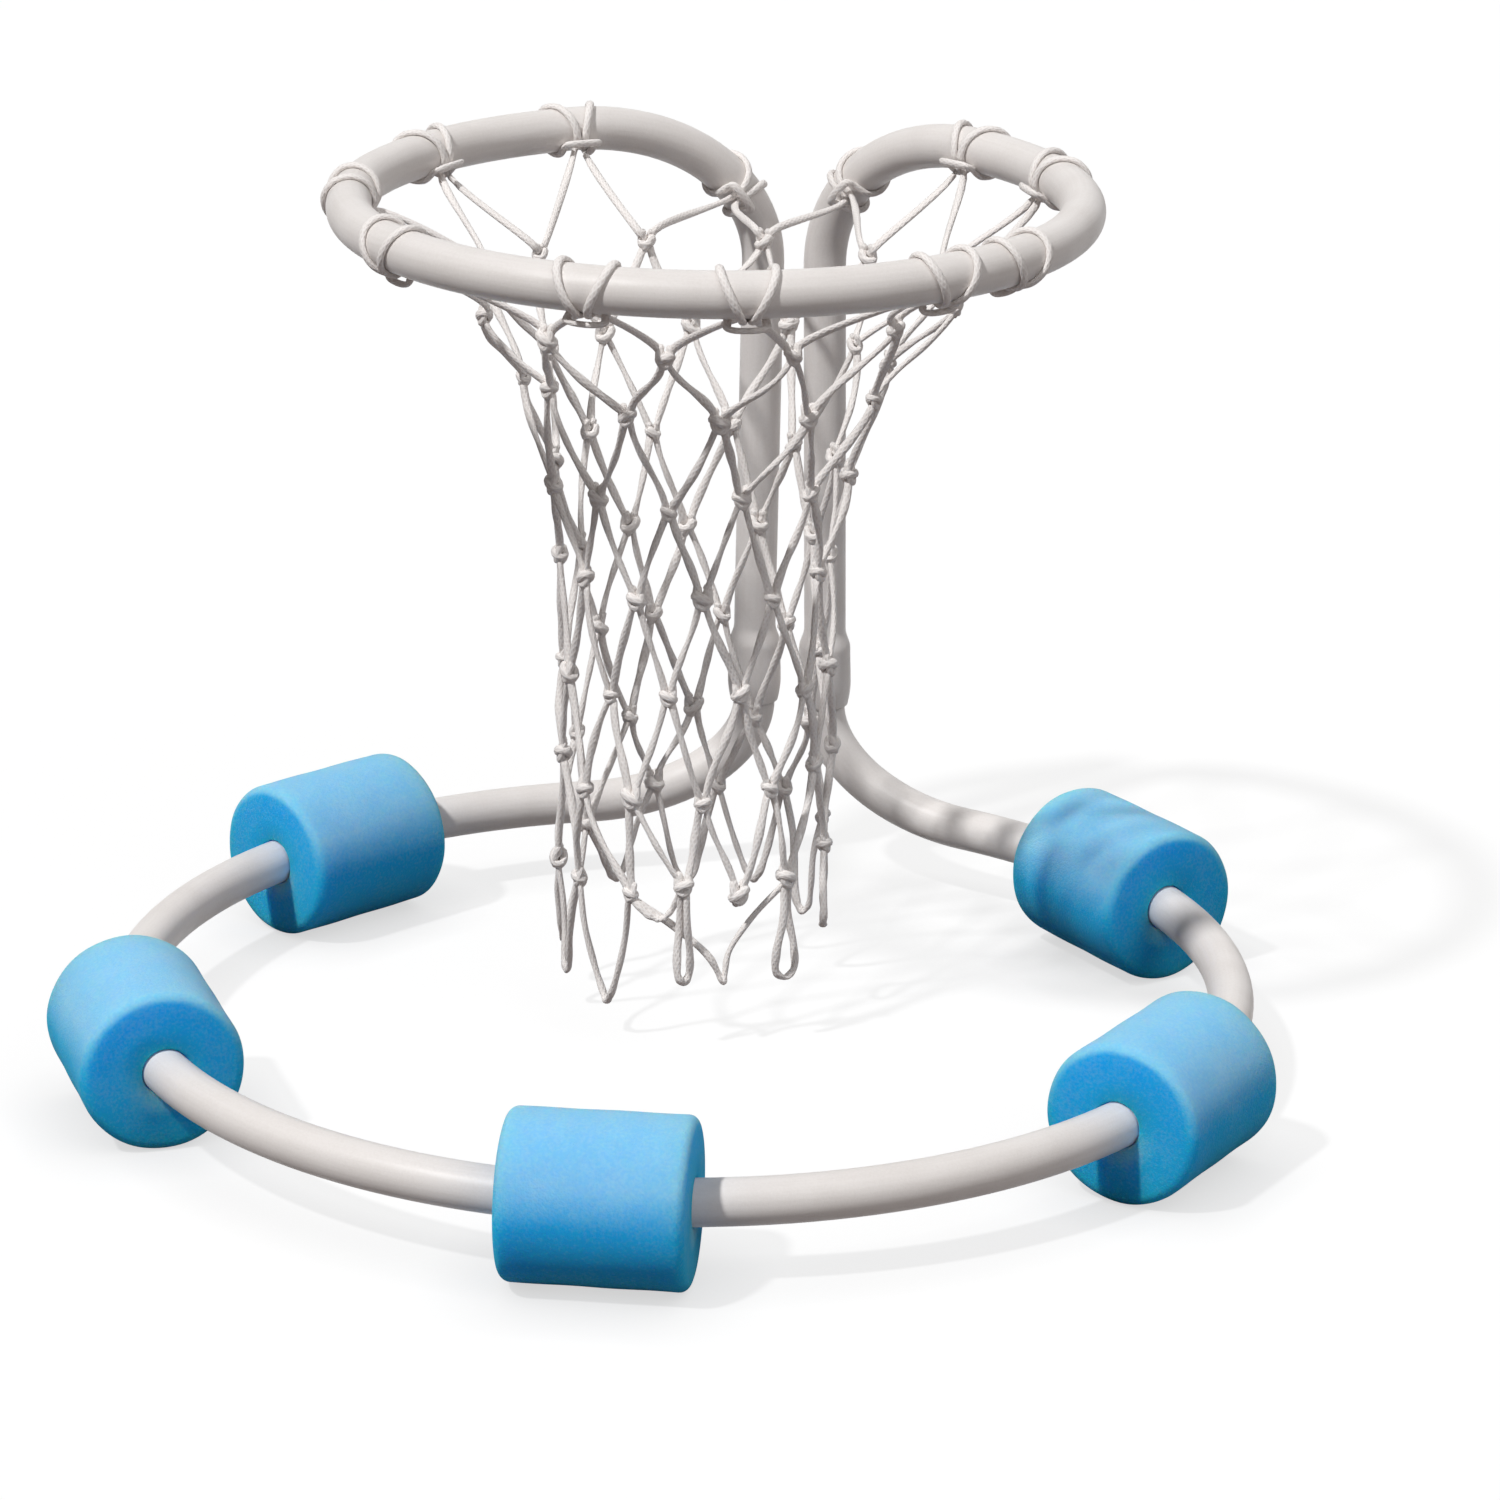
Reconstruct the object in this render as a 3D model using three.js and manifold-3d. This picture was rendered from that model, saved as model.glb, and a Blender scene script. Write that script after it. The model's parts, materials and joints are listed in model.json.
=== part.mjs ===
// Poolside basketball hoop: a bent tube hoop with a knotted net, plugged onto a floating ring of tube.
// Millimetres, +Z up. The front of the hoop looks along -Y and its two uprights stand at the back.
// The origin is the middle of the footprint, on the ground. Angles run clockwise from the back, as seen
// from above.
import * as THREE from 'three';
import { mergeVertices } from 'three/addons/utils/BufferGeometryUtils.js';
import Module from 'manifold-3d';

const wasm = await Module();
wasm.setup();

// Tube of the hoop and of the base ring
const tubeDiameter = 25;
const tubeWall = 2.8;
const tubeSides = 12;
const boreSides = 8;
const touchGap = 0.3;

// Base ring, whose two ends bend up into the risers that carry the hoop
const ringRadius = 305;
const riserRun = 100;
const riserRise = 60;
const socketSpacing = 43;
const ringStep = THREE.MathUtils.degToRad(5);
const bendSteps = 7;
const spigotLength = 28;
const spigotWall = 2;
const slipGap = 0.3;

// Sockets: the swollen lower ends of the hoop tube, each with a drawn-in lip
const bellDiameter = 32;
const bellLength = 48;
const bellShoulder = 12;
const lipLength = 14;
const lipDiameter = 28.4;
const socketGap = 0.35;

// Hoop: the rim, the two bends at its back and the uprights
const rimRadius = 200;
const rimHeight = 423;
const rimBendRun = 125;
const rimBendRise = 90;
const uprightSpacing = 37;
const rimStep = THREE.MathUtils.degToRad(8);

// Foam floats, threaded on the ring over the joints of its tubes
const floatDiameter = 90;
const floatLength = 97;
const floatEdge = 7;
const floatSides = 24;
const floatPitch = THREE.MathUtils.degToRad(65);
const floatSkew = THREE.MathUtils.degToRad(-4);
const floatBoreGap = 0.6;

// Net: knotted cord, with a row of knots at each level and a loop below each knot of the last row
const columns = 12;
const cordRadius = 2.1;
const knotSize = 4.6;
const knotDepth = 3.2;
const knotJitter = 2.6;
const netSway = -9;
const rowRadiusShares = [0.66, 0.51, 0.405, 0.38, 0.37, 0.375, 0.38];
const rowHeightShares = [0.88, 0.775, 0.645, 0.52, 0.387, 0.26, 0.145];
const tipHeightShare = -0.005;
const loopWidth = 17;
const loopShares = [[-0.62, 0.22], [-1, 0.62], [-0.72, 0.9], [0, 1], [0.72, 0.9], [1, 0.62], [0.62, 0.22]];
const hitchAngles = [10, 36, 60, 117, 132.5, 164, 188, 226.5, 262, 294, 324, 351.6];
const hitchWidth = 29;
const hitchWaist = 20;
const hitchGap = 0.5;
const legSpread = 5.2;
const legStub = 4;
const wrapSteps = 8;
const wrapAngle = THREE.MathUtils.degToRad(30);
const barAngle = THREE.MathUtils.degToRad(17);
const legAngle = THREE.MathUtils.degToRad(-5);

// Worked out from the sizes above
const tubeRadius = tubeDiameter / 2;
const boreRadius = tubeRadius - tubeWall;
const socketDepth = bellLength - bellShoulder - touchGap;
const ringHeight = floatDiameter / 2;
const fullTurn = 2 * Math.PI;
const up = new THREE.Vector3(0, 0, 1);

const tubeFinish = { color: 0xe8e4e1, roughness: 0.42, metalness: 0 };
const foamFinish = { color: 0x72bfea, roughness: 0.9, metalness: 0 };
const cordFinish = { color: 0xddd7d3, roughness: 0.8, metalness: 0 };

/** A surface under construction: its corners and its triangles, with faces pointing out. */
class Skin {
  constructor() {
    this.positions = [];
    this.triangles = [];
  }

  corner(point) {
    this.positions.push(point.x, point.y, point.z);
    return this.positions.length / 3 - 1;
  }

  corners(points) {
    return points.map((point) => this.corner(point));
  }

  face(...corners) {
    for (let i = 1; i < corners.length - 1; i++) {
      this.triangles.push(corners[0], corners[i], corners[i + 1]);
    }
  }

  /** Joins two rings of equal count that run counterclockwise about the way from the first to the second. */
  band(from, to) {
    from.forEach((corner, i) => {
      const next = (i + 1) % from.length;
      this.face(corner, from[next], to[next], to[i]);
    });
  }

  /** Fills the face between an outer and an inner ring, which may differ in count. */
  annulus(outer, inner) {
    let i = 0;
    let j = 0;
    while (i < outer.length || j < inner.length) {
      const here = outer[i % outer.length];
      const there = inner[j % inner.length];
      if (j === inner.length || (i < outer.length && (i + 1) / outer.length <= (j + 1) / inner.length)) {
        this.face(here, outer[(i + 1) % outer.length], there);
        i++;
      } else {
        this.face(here, inner[(j + 1) % inner.length], there);
        j++;
      }
    }
  }

  geometry() {
    const geometry = new THREE.BufferGeometry();
    geometry.setAttribute('position', new THREE.Float32BufferAttribute(this.positions, 3));
    geometry.setIndex(this.triangles);
    geometry.computeVertexNormals();
    return geometry;
  }
}

/** Gives each station of a route a side and a back direction that don't twist along it. */
function framed(stations) {
  const first = stations[0].tangent;
  const start = Math.abs(first.z) > Math.SQRT1_2 ? new THREE.Vector3(1, 0, 0) : up.clone();
  let side = start.clone();
  return stations.map((station) => {
    const { tangent } = station;
    side = side.clone().addScaledVector(tangent, -side.dot(tangent)).normalize();
    return { ...station, side, back: tangent.clone().cross(side) };
  });
}

/** Corners of a polygon about a station, drawn round its circle where it is a hole. */
function ringPoints(station, radius, sides, isHole = false) {
  const reach = isHole ? radius / Math.cos(Math.PI / sides) : radius;
  return Array.from({ length: sides }, (_, i) => {
    const angle = fullTurn * (i + 0.5) / sides;
    return station.point.clone()
      .addScaledVector(station.side, reach * Math.cos(angle))
      .addScaledVector(station.back, reach * Math.sin(angle));
  });
}

/** An open-ended tube along framed stations that each hold an outer and an inner radius. */
function tubeGeometry(stations) {
  const skin = new Skin();
  const outer = stations.map((s) => skin.corners(ringPoints(s, s.outer, tubeSides)));
  const inner = stations.map((s) => skin.corners(ringPoints(s, s.inner, boreSides, true)));
  for (let i = 0; i < stations.length - 1; i++) {
    skin.band(outer[i], outer[i + 1]);
    skin.band(inner[i + 1], inner[i]);
  }
  const flipped = (ring) => [...ring].reverse();
  skin.annulus(outer.at(-1), inner.at(-1));
  skin.annulus(flipped(outer[0]), flipped(inner[0]));
  return skin.geometry();
}

/** A solid cord of square section along a list of points. */
function cordGeometry(points) {
  const skin = new Skin();
  const stations = points.map((point, i) => {
    const before = points[Math.max(i - 1, 0)];
    const after = points[Math.min(i + 1, points.length - 1)];
    return { point, tangent: after.clone().sub(before).normalize() };
  });
  const rings = framed(stations).map((s) => skin.corners(ringPoints(s, cordRadius, 4)));
  rings.slice(1).forEach((ring, i) => skin.band(rings[i], ring));
  skin.face(...[...rings[0]].reverse());
  skin.face(...rings.at(-1));
  return skin.geometry();
}

/** Where the clockwise angle meets a circle of the given radius. */
function onCircle(radius, angle, height) {
  return new THREE.Vector3(radius * Math.sin(angle), radius * Math.cos(angle), height);
}

function clockwise(angle) {
  return new THREE.Vector3(Math.cos(angle), -Math.sin(angle), 0);
}

/** Stations on a level circle, from one angle to another. */
function arcStations(centre, radius, from, to, step) {
  const count = Math.max(1, Math.round((to - from) / step));
  return Array.from({ length: count + 1 }, (_, i) => {
    const angle = from + (to - from) * i / count;
    return { point: centre.clone().add(onCircle(radius, angle, 0)), tangent: clockwise(angle) };
  });
}

/** The angle at which a bend of this run leaves its circle, so that it ends offset from the middle. */
function bendAngle(radius, run, offset) {
  return Math.atan2(run, radius) + Math.asin(offset / Math.hypot(radius, run));
}

/** How far behind its circle's centre a bend ends. */
function bendReach(radius, run, offset) {
  const angle = bendAngle(radius, run, offset);
  return radius * Math.cos(angle) + run * Math.sin(angle);
}

/**
 * Stations of the bend on the right, from its upright end down or up to its circle. It is a quarter of an
 * ellipse that leaves the circle along its tangent and ends upright; rise is negative for a bend down.
 */
function bendStations(centre, radius, run, rise, offset) {
  const angle = bendAngle(radius, run, offset);
  const start = centre.clone().add(onCircle(radius, angle, 0));
  const inward = clockwise(angle).negate();
  return Array.from({ length: bendSteps }, (_, i) => {
    const turn = Math.PI / 2 * (1 - i / bendSteps);
    const point = start.clone()
      .addScaledVector(inward, run * Math.sin(turn))
      .addScaledVector(up, rise * (1 - Math.cos(turn)));
    const tangent = inward.clone().multiplyScalar(-run * Math.cos(turn))
      .addScaledVector(up, -rise * Math.sin(turn)).normalize();
    return { point, tangent };
  });
}

/** The same stations on the left, travelled the other way. */
function mirrored(stations) {
  return stations.map((station) => ({
    ...station,
    point: station.point.clone().setX(-station.point.x),
    tangent: station.tangent.clone().multiply(new THREE.Vector3(1, -1, -1)),
  })).reverse();
}

function plain(stations) {
  return stations.map((station) => ({ ...station, outer: tubeRadius, inner: boreRadius }));
}

function solidMesh(name, geometry, finish) {
  const mesh = new THREE.Mesh(geometry, new THREE.MeshStandardMaterial(finish));
  mesh.name = name;
  return mesh;
}

// Base ring
const ringCentre = new THREE.Vector3(0, 0, ringHeight);
const uprightY = bendReach(ringRadius, riserRun, socketSpacing / 2);
const riserAngle = bendAngle(ringRadius, riserRun, socketSpacing / 2);
const mouthHeight = ringHeight + riserRise;
const jointAngles = [-2, -1, 0, 1, 2].map((k) => Math.PI + floatSkew + k * floatPitch);

/** Stations of one base tube, whose plain start meets the shoulder of a spigot that fills its bore. */
function jointedArc(from, to, hasSpigot) {
  const shoulder = from + (tubeWall + touchGap) / ringRadius;
  const filled = from + spigotLength / ringRadius;
  const first = arcStations(ringCentre, ringRadius, shoulder, filled, ringStep);
  const rest = arcStations(ringCentre, ringRadius, filled, to, ringStep).slice(1);
  return [...plain([...first, ...rest]), ...(hasSpigot ? spigot(to) : [])];
}

/** The necked end that a base tube pushes into the bore of the next one. */
function spigot(angle) {
  const radius = boreRadius - slipGap;
  const neck = tubeWall / ringRadius;
  const end = angle + (spigotLength - tubeWall) / ringRadius;
  const bore = radius - spigotWall;
  return [angle + neck, end].map((at) => ({
    point: ringCentre.clone().add(onCircle(ringRadius, at, 0)),
    tangent: clockwise(at),
    outer: radius,
    inner: bore,
  }));
}

/** The riser on the right: the plain tube end inside its socket and the bend down to the ring. */
function riserStations() {
  const top = new THREE.Vector3(socketSpacing / 2, uprightY, mouthHeight + socketDepth);
  const bend = bendStations(ringCentre, ringRadius, riserRun, riserRise, socketSpacing / 2);
  return [{ point: top, tangent: up.clone().negate() }, ...bend];
}

/** The tubes of the base ring in clockwise order, from the riser on the right to the one on the left. */
function baseTubes() {
  const right = riserStations();
  const lastJoint = jointAngles.at(-1);
  const rearRight = [
    ...plain(right),
    ...plain(arcStations(ringCentre, ringRadius, riserAngle, jointAngles[0], ringStep)),
    ...spigot(jointAngles[0]),
  ];
  const rearLeft = [
    ...jointedArc(lastJoint, fullTurn - riserAngle, false),
    ...plain(mirrored(right)),
  ];
  const names = ['right', 'front_right', 'front_left', 'left'];
  const arcs = names.map((name, i) => [name, jointedArc(jointAngles[i], jointAngles[i + 1], true)]);
  return [['rear_right', rearRight], ...arcs, ['rear_left', rearLeft]]
    .map(([name, stations]) => solidMesh(`base_tube_${name}`, tubeGeometry(framed(stations)), tubeFinish));
}

// Hoop
const rimCentre = new THREE.Vector3(
  0, uprightY - bendReach(rimRadius, rimBendRun, uprightSpacing / 2), ringHeight + rimHeight);
const rimAngle = bendAngle(rimRadius, rimBendRun, uprightSpacing / 2);

/** The rim with the bend at each end of it, as plain stations from the right upright round to the left. */
function loopStations() {
  const right = bendStations(rimCentre, rimRadius, rimBendRun, -rimBendRise, uprightSpacing / 2);
  const arc = arcStations(rimCentre, rimRadius, rimAngle, fullTurn - rimAngle, rimStep);
  return [...right, ...arc, ...mirrored(right)];
}

/** The socket on the right, from its lip up to where the upright leaves its shoulder. */
function socketStations() {
  const bellRadius = bellDiameter / 2;
  const insert = tubeRadius + socketGap;
  const levels = [
    [0, lipDiameter / 2, insert],
    [lipLength, bellRadius, insert],
    [bellLength - bellShoulder, bellRadius, insert],
    [bellLength, tubeRadius, boreRadius],
  ];
  return levels.map(([height, outer, inner]) => ({
    point: new THREE.Vector3(socketSpacing / 2, uprightY, mouthHeight + height),
    tangent: up.clone(),
    outer,
    inner,
  }));
}

/** The hoop tube: both sockets, both uprights and the loop between them, bent from one tube. */
function hoopTube(loop) {
  const right = socketStations();
  const stations = framed([...right, ...plain(loop), ...mirrored(right)]);
  return solidMesh('hoop_tube', tubeGeometry(stations), tubeFinish);
}

// Floats
function asSolid(geometry) {
  const bare = geometry.clone();
  bare.deleteAttribute('normal');
  bare.deleteAttribute('uv');
  const merged = mergeVertices(bare);
  return new wasm.Manifold(new wasm.Mesh({
    numProp: 3,
    vertProperties: new Float32Array(merged.getAttribute('position').array),
    triVerts: new Uint32Array(merged.getIndex().array),
  }));
}

function fromSolid(solid) {
  const mesh = solid.getMesh();
  const geometry = new THREE.BufferGeometry();
  geometry.setAttribute('position', new THREE.BufferAttribute(mesh.vertProperties, 3));
  geometry.setIndex(new THREE.BufferAttribute(mesh.triVerts, 1));
  geometry.computeVertexNormals();
  return geometry;
}

/** A solid rod of bore size along the ring, through the float at angle zero. */
function boreRod() {
  const half = floatLength / ringRadius;
  const stations = framed(arcStations(ringCentre, ringRadius, -half, half, ringStep));
  const skin = new Skin();
  const radius = tubeRadius + floatBoreGap;
  const rings = stations.map((s) => skin.corners(ringPoints(s, radius, tubeSides, true)));
  rings.slice(1).forEach((ring, i) => skin.band(rings[i], ring));
  skin.face(...[...rings[0]].reverse());
  skin.face(...rings.at(-1));
  return skin.geometry();
}

/** One float: a foam cylinder along the ring's tangent, bored along the ring's curve. */
function floatGeometry() {
  const radius = floatDiameter / 2 / Math.cos(Math.PI / floatSides);
  const half = floatLength / 2;
  const edge = [0, 1, 2].map((i) => {
    const turn = Math.PI / 4 * i;
    return [radius - floatEdge + floatEdge * Math.sin(turn), half - floatEdge + floatEdge * Math.cos(turn)];
  });
  const lower = [[0, half], ...edge].map(([r, y]) => new THREE.Vector2(r, -y));
  const upper = [...edge.reverse(), [0, half]].map(([r, y]) => new THREE.Vector2(r, y));
  const sagitta = floatLength ** 2 / (8 * ringRadius);
  const body = new THREE.LatheGeometry([...lower, ...upper], floatSides, Math.PI / floatSides);
  body.rotateZ(Math.PI / 2);
  body.translate(0, ringRadius - sagitta / 2, ringHeight);
  return fromSolid(asSolid(body).subtract(asSolid(boreRod())));
}

/** The floats, each over one joint of the base ring. */
function floats() {
  const names = ['rear_right', 'right', 'front', 'left', 'rear_left'];
  const geometry = floatGeometry();
  return names.map((name, i) => {
    const mesh = solidMesh(`float_${name}`, geometry, foamFinish);
    mesh.rotation.z = -jointAngles[i];
    return mesh;
  });
}

// Net
const rows = rowRadiusShares.length;
const columnAngle = fullTurn / columns;

/** A steady but uneven share between -1 and 1, so that no two knots hang alike. */
function uneven(row, column, seed) {
  return Math.sin(2.4 * column + 1.7 * row + seed) * Math.cos(1.3 * column - 0.9 * row + 2 * seed);
}

/** A knot's place and directions: right and out as seen from outside the net. */
function knotAt(row, column) {
  const angle = (column + (row % 2 ? 0.5 : 0)) * columnAngle;
  const share = Math.min(1, row / 2);
  const radius = rowRadiusShares[row] * rimRadius + knotJitter * uneven(row, column, 0.5);
  const height = ringHeight + rowHeightShares[row] * rimHeight + knotJitter * 1.4 * uneven(row, column, 2.1);
  const shift = knotJitter / radius * uneven(row, column, 4.2);
  const point = onCircle(radius, angle + shift, height);
  point.x += netSway * share;
  point.y += rimCentre.y;
  return { point, out: onCircle(1, angle, 0), right: clockwise(angle).negate() };
}

/** The eight corners of a knot, named by side: right, top, left, bottom at the front and at the back. */
function knotCorners(skin, knot) {
  const places = [[1, 0], [0, 1], [-1, 0], [0, -1]];
  const at = (depth) => places.map(([x, y]) => skin.corner(knot.point.clone()
    .addScaledVector(knot.right, x * knotSize)
    .addScaledVector(up, y * knotSize)
    .addScaledVector(knot.out, depth * knotDepth)));
  const [frontRight, frontTop, frontLeft, frontBottom] = at(1);
  const [backRight, backTop, backLeft, backBottom] = at(-1);
  skin.face(frontRight, frontTop, frontLeft, frontBottom);
  skin.face(backRight, backBottom, backLeft, backTop);
  return {
    upRight: [frontTop, frontRight, backRight, backTop],
    upLeft: [frontLeft, frontTop, backTop, backLeft],
    downLeft: [frontBottom, frontLeft, backLeft, backBottom],
    downRight: [frontRight, frontBottom, backBottom, backRight],
  };
}

/** A small square ring of cord about a point, for a stretch that runs along the given way. */
function cordRing(skin, point, way, out) {
  const front = out.clone().addScaledVector(way, -out.dot(way)).normalize();
  const side = way.clone().cross(front);
  const half = cordRadius * Math.SQRT1_2;
  return [[1, -1], [1, 1], [-1, 1], [-1, -1]].map(([f, s]) => skin.corner(point.clone()
    .addScaledVector(front, f * half)
    .addScaledVector(side, s * half)));
}

/** The middle of the face of a knot that looks along x to the right and y up. */
function faceMiddle(knot, x, y) {
  return knot.point.clone()
    .addScaledVector(knot.right, x * knotSize / 2)
    .addScaledVector(up, y * knotSize / 2);
}

/** A strand of cord between two knots' faces, thick where it leaves them. */
function strand(skin, start, end, from, to, out) {
  const way = to.clone().sub(from).normalize();
  const rings = [knotSize, from.distanceTo(to) - knotSize]
    .map((distance) => cordRing(skin, from.clone().addScaledVector(way, distance), way, out));
  skin.band(start, rings[0]);
  skin.band(rings[0], rings[1]);
  skin.band(rings[1], end);
}

/** The points of the loop that hangs below a knot, from its left face round to its right one. */
function loopPoints(knot, row, column) {
  const tip = knot.point.clone()
    .setZ(ringHeight + tipHeightShare * rimHeight + 3 * knotJitter * uneven(row, column, 1.1))
    .addScaledVector(knot.right, 2 * knotJitter * uneven(row, column, 3.3))
    .addScaledVector(knot.out, 2 * knotJitter * uneven(row, column, 5.2));
  const drop = knot.point.z - tip.z;
  const spread = loopWidth / 2;
  return loopShares.map(([x, y]) => knot.point.clone().lerp(tip, y).setZ(knot.point.z - drop * y)
    .addScaledVector(knot.right, x * spread));
}

/** The whole net as one skin: its knots, the strands between them and the loops at its end. */
function netGeometry() {
  const skin = new Skin();
  const knots = rowRadiusShares.map((_, row) => Array.from({ length: columns }, (__, column) => {
    const knot = knotAt(row, column);
    return { ...knot, faces: knotCorners(skin, knot) };
  }));
  const wrap = (column) => (column + columns) % columns;
  for (let row = 1; row < rows; row++) {
    knots[row].forEach((knot, column) => {
      const shift = row % 2 ? 0 : -1;
      const rightAbove = knots[row - 1][wrap(column + shift)];
      const leftAbove = knots[row - 1][wrap(column + shift + 1)];
      const right = rightAbove.faces.downLeft;
      const left = leftAbove.faces.downRight;
      strand(skin, knot.faces.upRight, [right[1], right[0], right[3], right[2]],
        faceMiddle(knot, 1, 1), faceMiddle(rightAbove, -1, -1), knot.out);
      strand(skin, knot.faces.upLeft, [left[1], left[0], left[3], left[2]],
        faceMiddle(knot, -1, 1), faceMiddle(leftAbove, 1, -1), knot.out);
    });
  }
  knots[0].forEach((knot) => {
    skin.face(...knot.faces.upRight);
    skin.face(...knot.faces.upLeft);
  });
  knots.at(-1).forEach((knot, column) => endLoop(skin, knot, column));
  return skin.geometry();
}

/** Joins the loop that hangs below a knot of the last row to its two lower faces. */
function endLoop(skin, knot, column) {
  const start = faceMiddle(knot, -1, -1);
  const end = faceMiddle(knot, 1, -1);
  const path = [start, ...loopPoints(knot, rows, column), end];
  let ring = knot.faces.downLeft;
  path.slice(1, -1).forEach((point, i) => {
    const way = path[i + 2].clone().sub(path[i]).normalize();
    const next = cordRing(skin, point, way, knot.out);
    skin.band(ring, next);
    ring = next;
  });
  const last = knot.faces.downRight;
  skin.band(ring, [last[1], last[0], last[3], last[2]]);
}

/** The place and direction of the hoop tube at a distance along its loop. */
function alongLoop(loop, distance) {
  const lengthOf = (i) => loop[i].point.distanceTo(loop[i - 1].point);
  let left = distance;
  let i = 1;
  while (left > lengthOf(i) && i < loop.length - 1) {
    left -= lengthOf(i);
    i++;
  }
  const share = left / lengthOf(i);
  return {
    point: loop[i - 1].point.clone().lerp(loop[i].point, share),
    tangent: loop[i - 1].tangent.clone().lerp(loop[i].tangent, share).normalize(),
  };
}

/** How far along its loop the hoop tube passes a clockwise angle about the rim's centre. */
function distanceAtAngle(loop, angle) {
  const planAngle = ({ point }) => {
    const turn = Math.atan2(point.x, point.y - rimCentre.y);
    return turn < 0 ? turn + fullTurn : turn;
  };
  let distance = 0;
  for (let i = 1; i < loop.length; i++) {
    const [before, after] = [planAngle(loop[i - 1]), planAngle(loop[i])];
    const length = loop[i].point.distanceTo(loop[i - 1].point);
    if (after >= angle) {
      return distance + length * (angle - before) / (after - before);
    }
    distance += length;
  }
  return distance;
}

/**
 * One hitch: a cord that comes up from a knot, goes round the rim, crosses over its own two legs as a bar,
 * goes round the rim again and down to the next knot. Its legs lie on the side that faces the front.
 */
function hitchPoints(loop, index) {
  const planAngle = THREE.MathUtils.degToRad(hitchAngles[index]);
  const middle = distanceAtAngle(loop, planAngle);
  const turn = Math.cos(planAngle) > 0 ? -1 : 1;
  const knots = [knotAt(0, index), knotAt(0, (index + 1) % columns)];
  const target = knots[0].point.clone().lerp(knots[1].point, 0.5);
  const near = tubeRadius + hitchGap + cordRadius;
  const far = near + 2 * cordRadius + hitchGap;
  const place = (offset, angle, radius) => {
    const { point, tangent } = alongLoop(loop, middle + offset);
    const down = target.clone().sub(point);
    down.addScaledVector(tangent, -down.dot(tangent)).normalize();
    const across = tangent.clone().cross(down).multiplyScalar(turn);
    return point.clone()
      .addScaledVector(down, radius * Math.cos(angle))
      .addScaledVector(across, radius * Math.sin(angle));
  };
  const half = (side) => {
    const wrapped = Array.from({ length: wrapSteps + 1 }, (_, i) => {
      const share = i / wrapSteps;
      const bulge = Math.sin(Math.PI * share);
      const waist = legSpread + (hitchWaist - legSpread) * share;
      const offset = side * (waist + (hitchWidth - waist) * bulge) / 2;
      const angle = wrapAngle + (fullTurn - 2 * wrapAngle) * share;
      return place(offset, angle, near / Math.cos((Math.PI - wrapAngle) / wrapSteps));
    });
    const knot = knots[side < 0 ? 0 : 1];
    const leaving = up.clone().addScaledVector(knot.right, side).normalize();
    const foot = faceMiddle(knot, side, 1);
    const stub = [touchGap, legStub].map((reach) => foot.clone().addScaledVector(leaving, reach));
    const underBar = place(side * legSpread / 2, legAngle, near);
    const barEnd = place(side * hitchWaist / 2, barAngle, far);
    return [...stub, underBar, ...wrapped, barEnd];
  };
  return [...half(-1), ...half(1).reverse()];
}

/** All the hitches, spaced round the rim as unevenly as tied by hand. */
function hitches(loop) {
  return hitchAngles.map((_, i) => {
    const name = `net_hitch_${String(i + 1).padStart(2, '0')}`;
    return solidMesh(name, cordGeometry(hitchPoints(loop, i)), cordFinish);
  });
}

const loop = loopStations();
const hoop = new THREE.Group();
hoop.add(hoopTube(loop), solidMesh('net', netGeometry(), cordFinish), ...hitches(loop));

const group = new THREE.Group();
group.add(hoop, ...baseTubes(), ...floats());

// The ring's centre is placed so that the origin is the middle of the footprint.
const middle = new THREE.Box3().setFromObject(group, true).getCenter(new THREE.Vector3());
group.position.set(-middle.x, -middle.y, 0);

export default group;
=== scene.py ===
"""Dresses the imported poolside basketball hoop: tube, foam floats, knotted net, floor, lamps and camera.

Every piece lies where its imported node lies, in metres, with +Z up and the front of the hoop looking
along -Y. Angles round the ring and the rim run clockwise from the back, as seen from above.
"""
import json
import logging
import math
from collections.abc import Callable
from dataclasses import dataclass, field
from enum import Enum

import bpy
from mathutils import Matrix, Vector


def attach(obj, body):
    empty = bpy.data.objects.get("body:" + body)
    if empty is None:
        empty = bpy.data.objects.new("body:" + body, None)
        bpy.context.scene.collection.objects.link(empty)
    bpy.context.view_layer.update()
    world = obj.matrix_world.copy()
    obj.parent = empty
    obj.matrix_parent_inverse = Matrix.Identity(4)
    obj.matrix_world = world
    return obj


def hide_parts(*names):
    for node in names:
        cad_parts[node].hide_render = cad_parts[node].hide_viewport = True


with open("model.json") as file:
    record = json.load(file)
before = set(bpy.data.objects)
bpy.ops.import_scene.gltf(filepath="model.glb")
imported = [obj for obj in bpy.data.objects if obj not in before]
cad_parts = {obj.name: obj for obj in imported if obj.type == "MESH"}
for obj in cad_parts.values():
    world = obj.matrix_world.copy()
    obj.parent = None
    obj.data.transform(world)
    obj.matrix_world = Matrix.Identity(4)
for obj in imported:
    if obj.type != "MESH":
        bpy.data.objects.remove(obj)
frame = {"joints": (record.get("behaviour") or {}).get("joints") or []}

log = logging.getLogger("hoop")

Colour = tuple[float, float, float, float]
Pair = tuple[float, float]
Place = tuple[float, float, float]

UP = Vector((0.0, 0.0, 1.0))
FULL_TURN = 2 * math.pi
USUAL_NOISE = (0.3, 0.7)


class Slot(Enum):
    """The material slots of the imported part."""

    TUBE = "tube"
    FOAM = "foam"
    CORD = "cord"


class Trait(Enum):
    """What differs from knot to knot, each with the number that its unevenness starts from."""

    RADIUS = 0.5
    HEIGHT = 2.1
    SHIFT = 4.2
    SIZE = 6.3
    SLANT = 7.7


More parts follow.
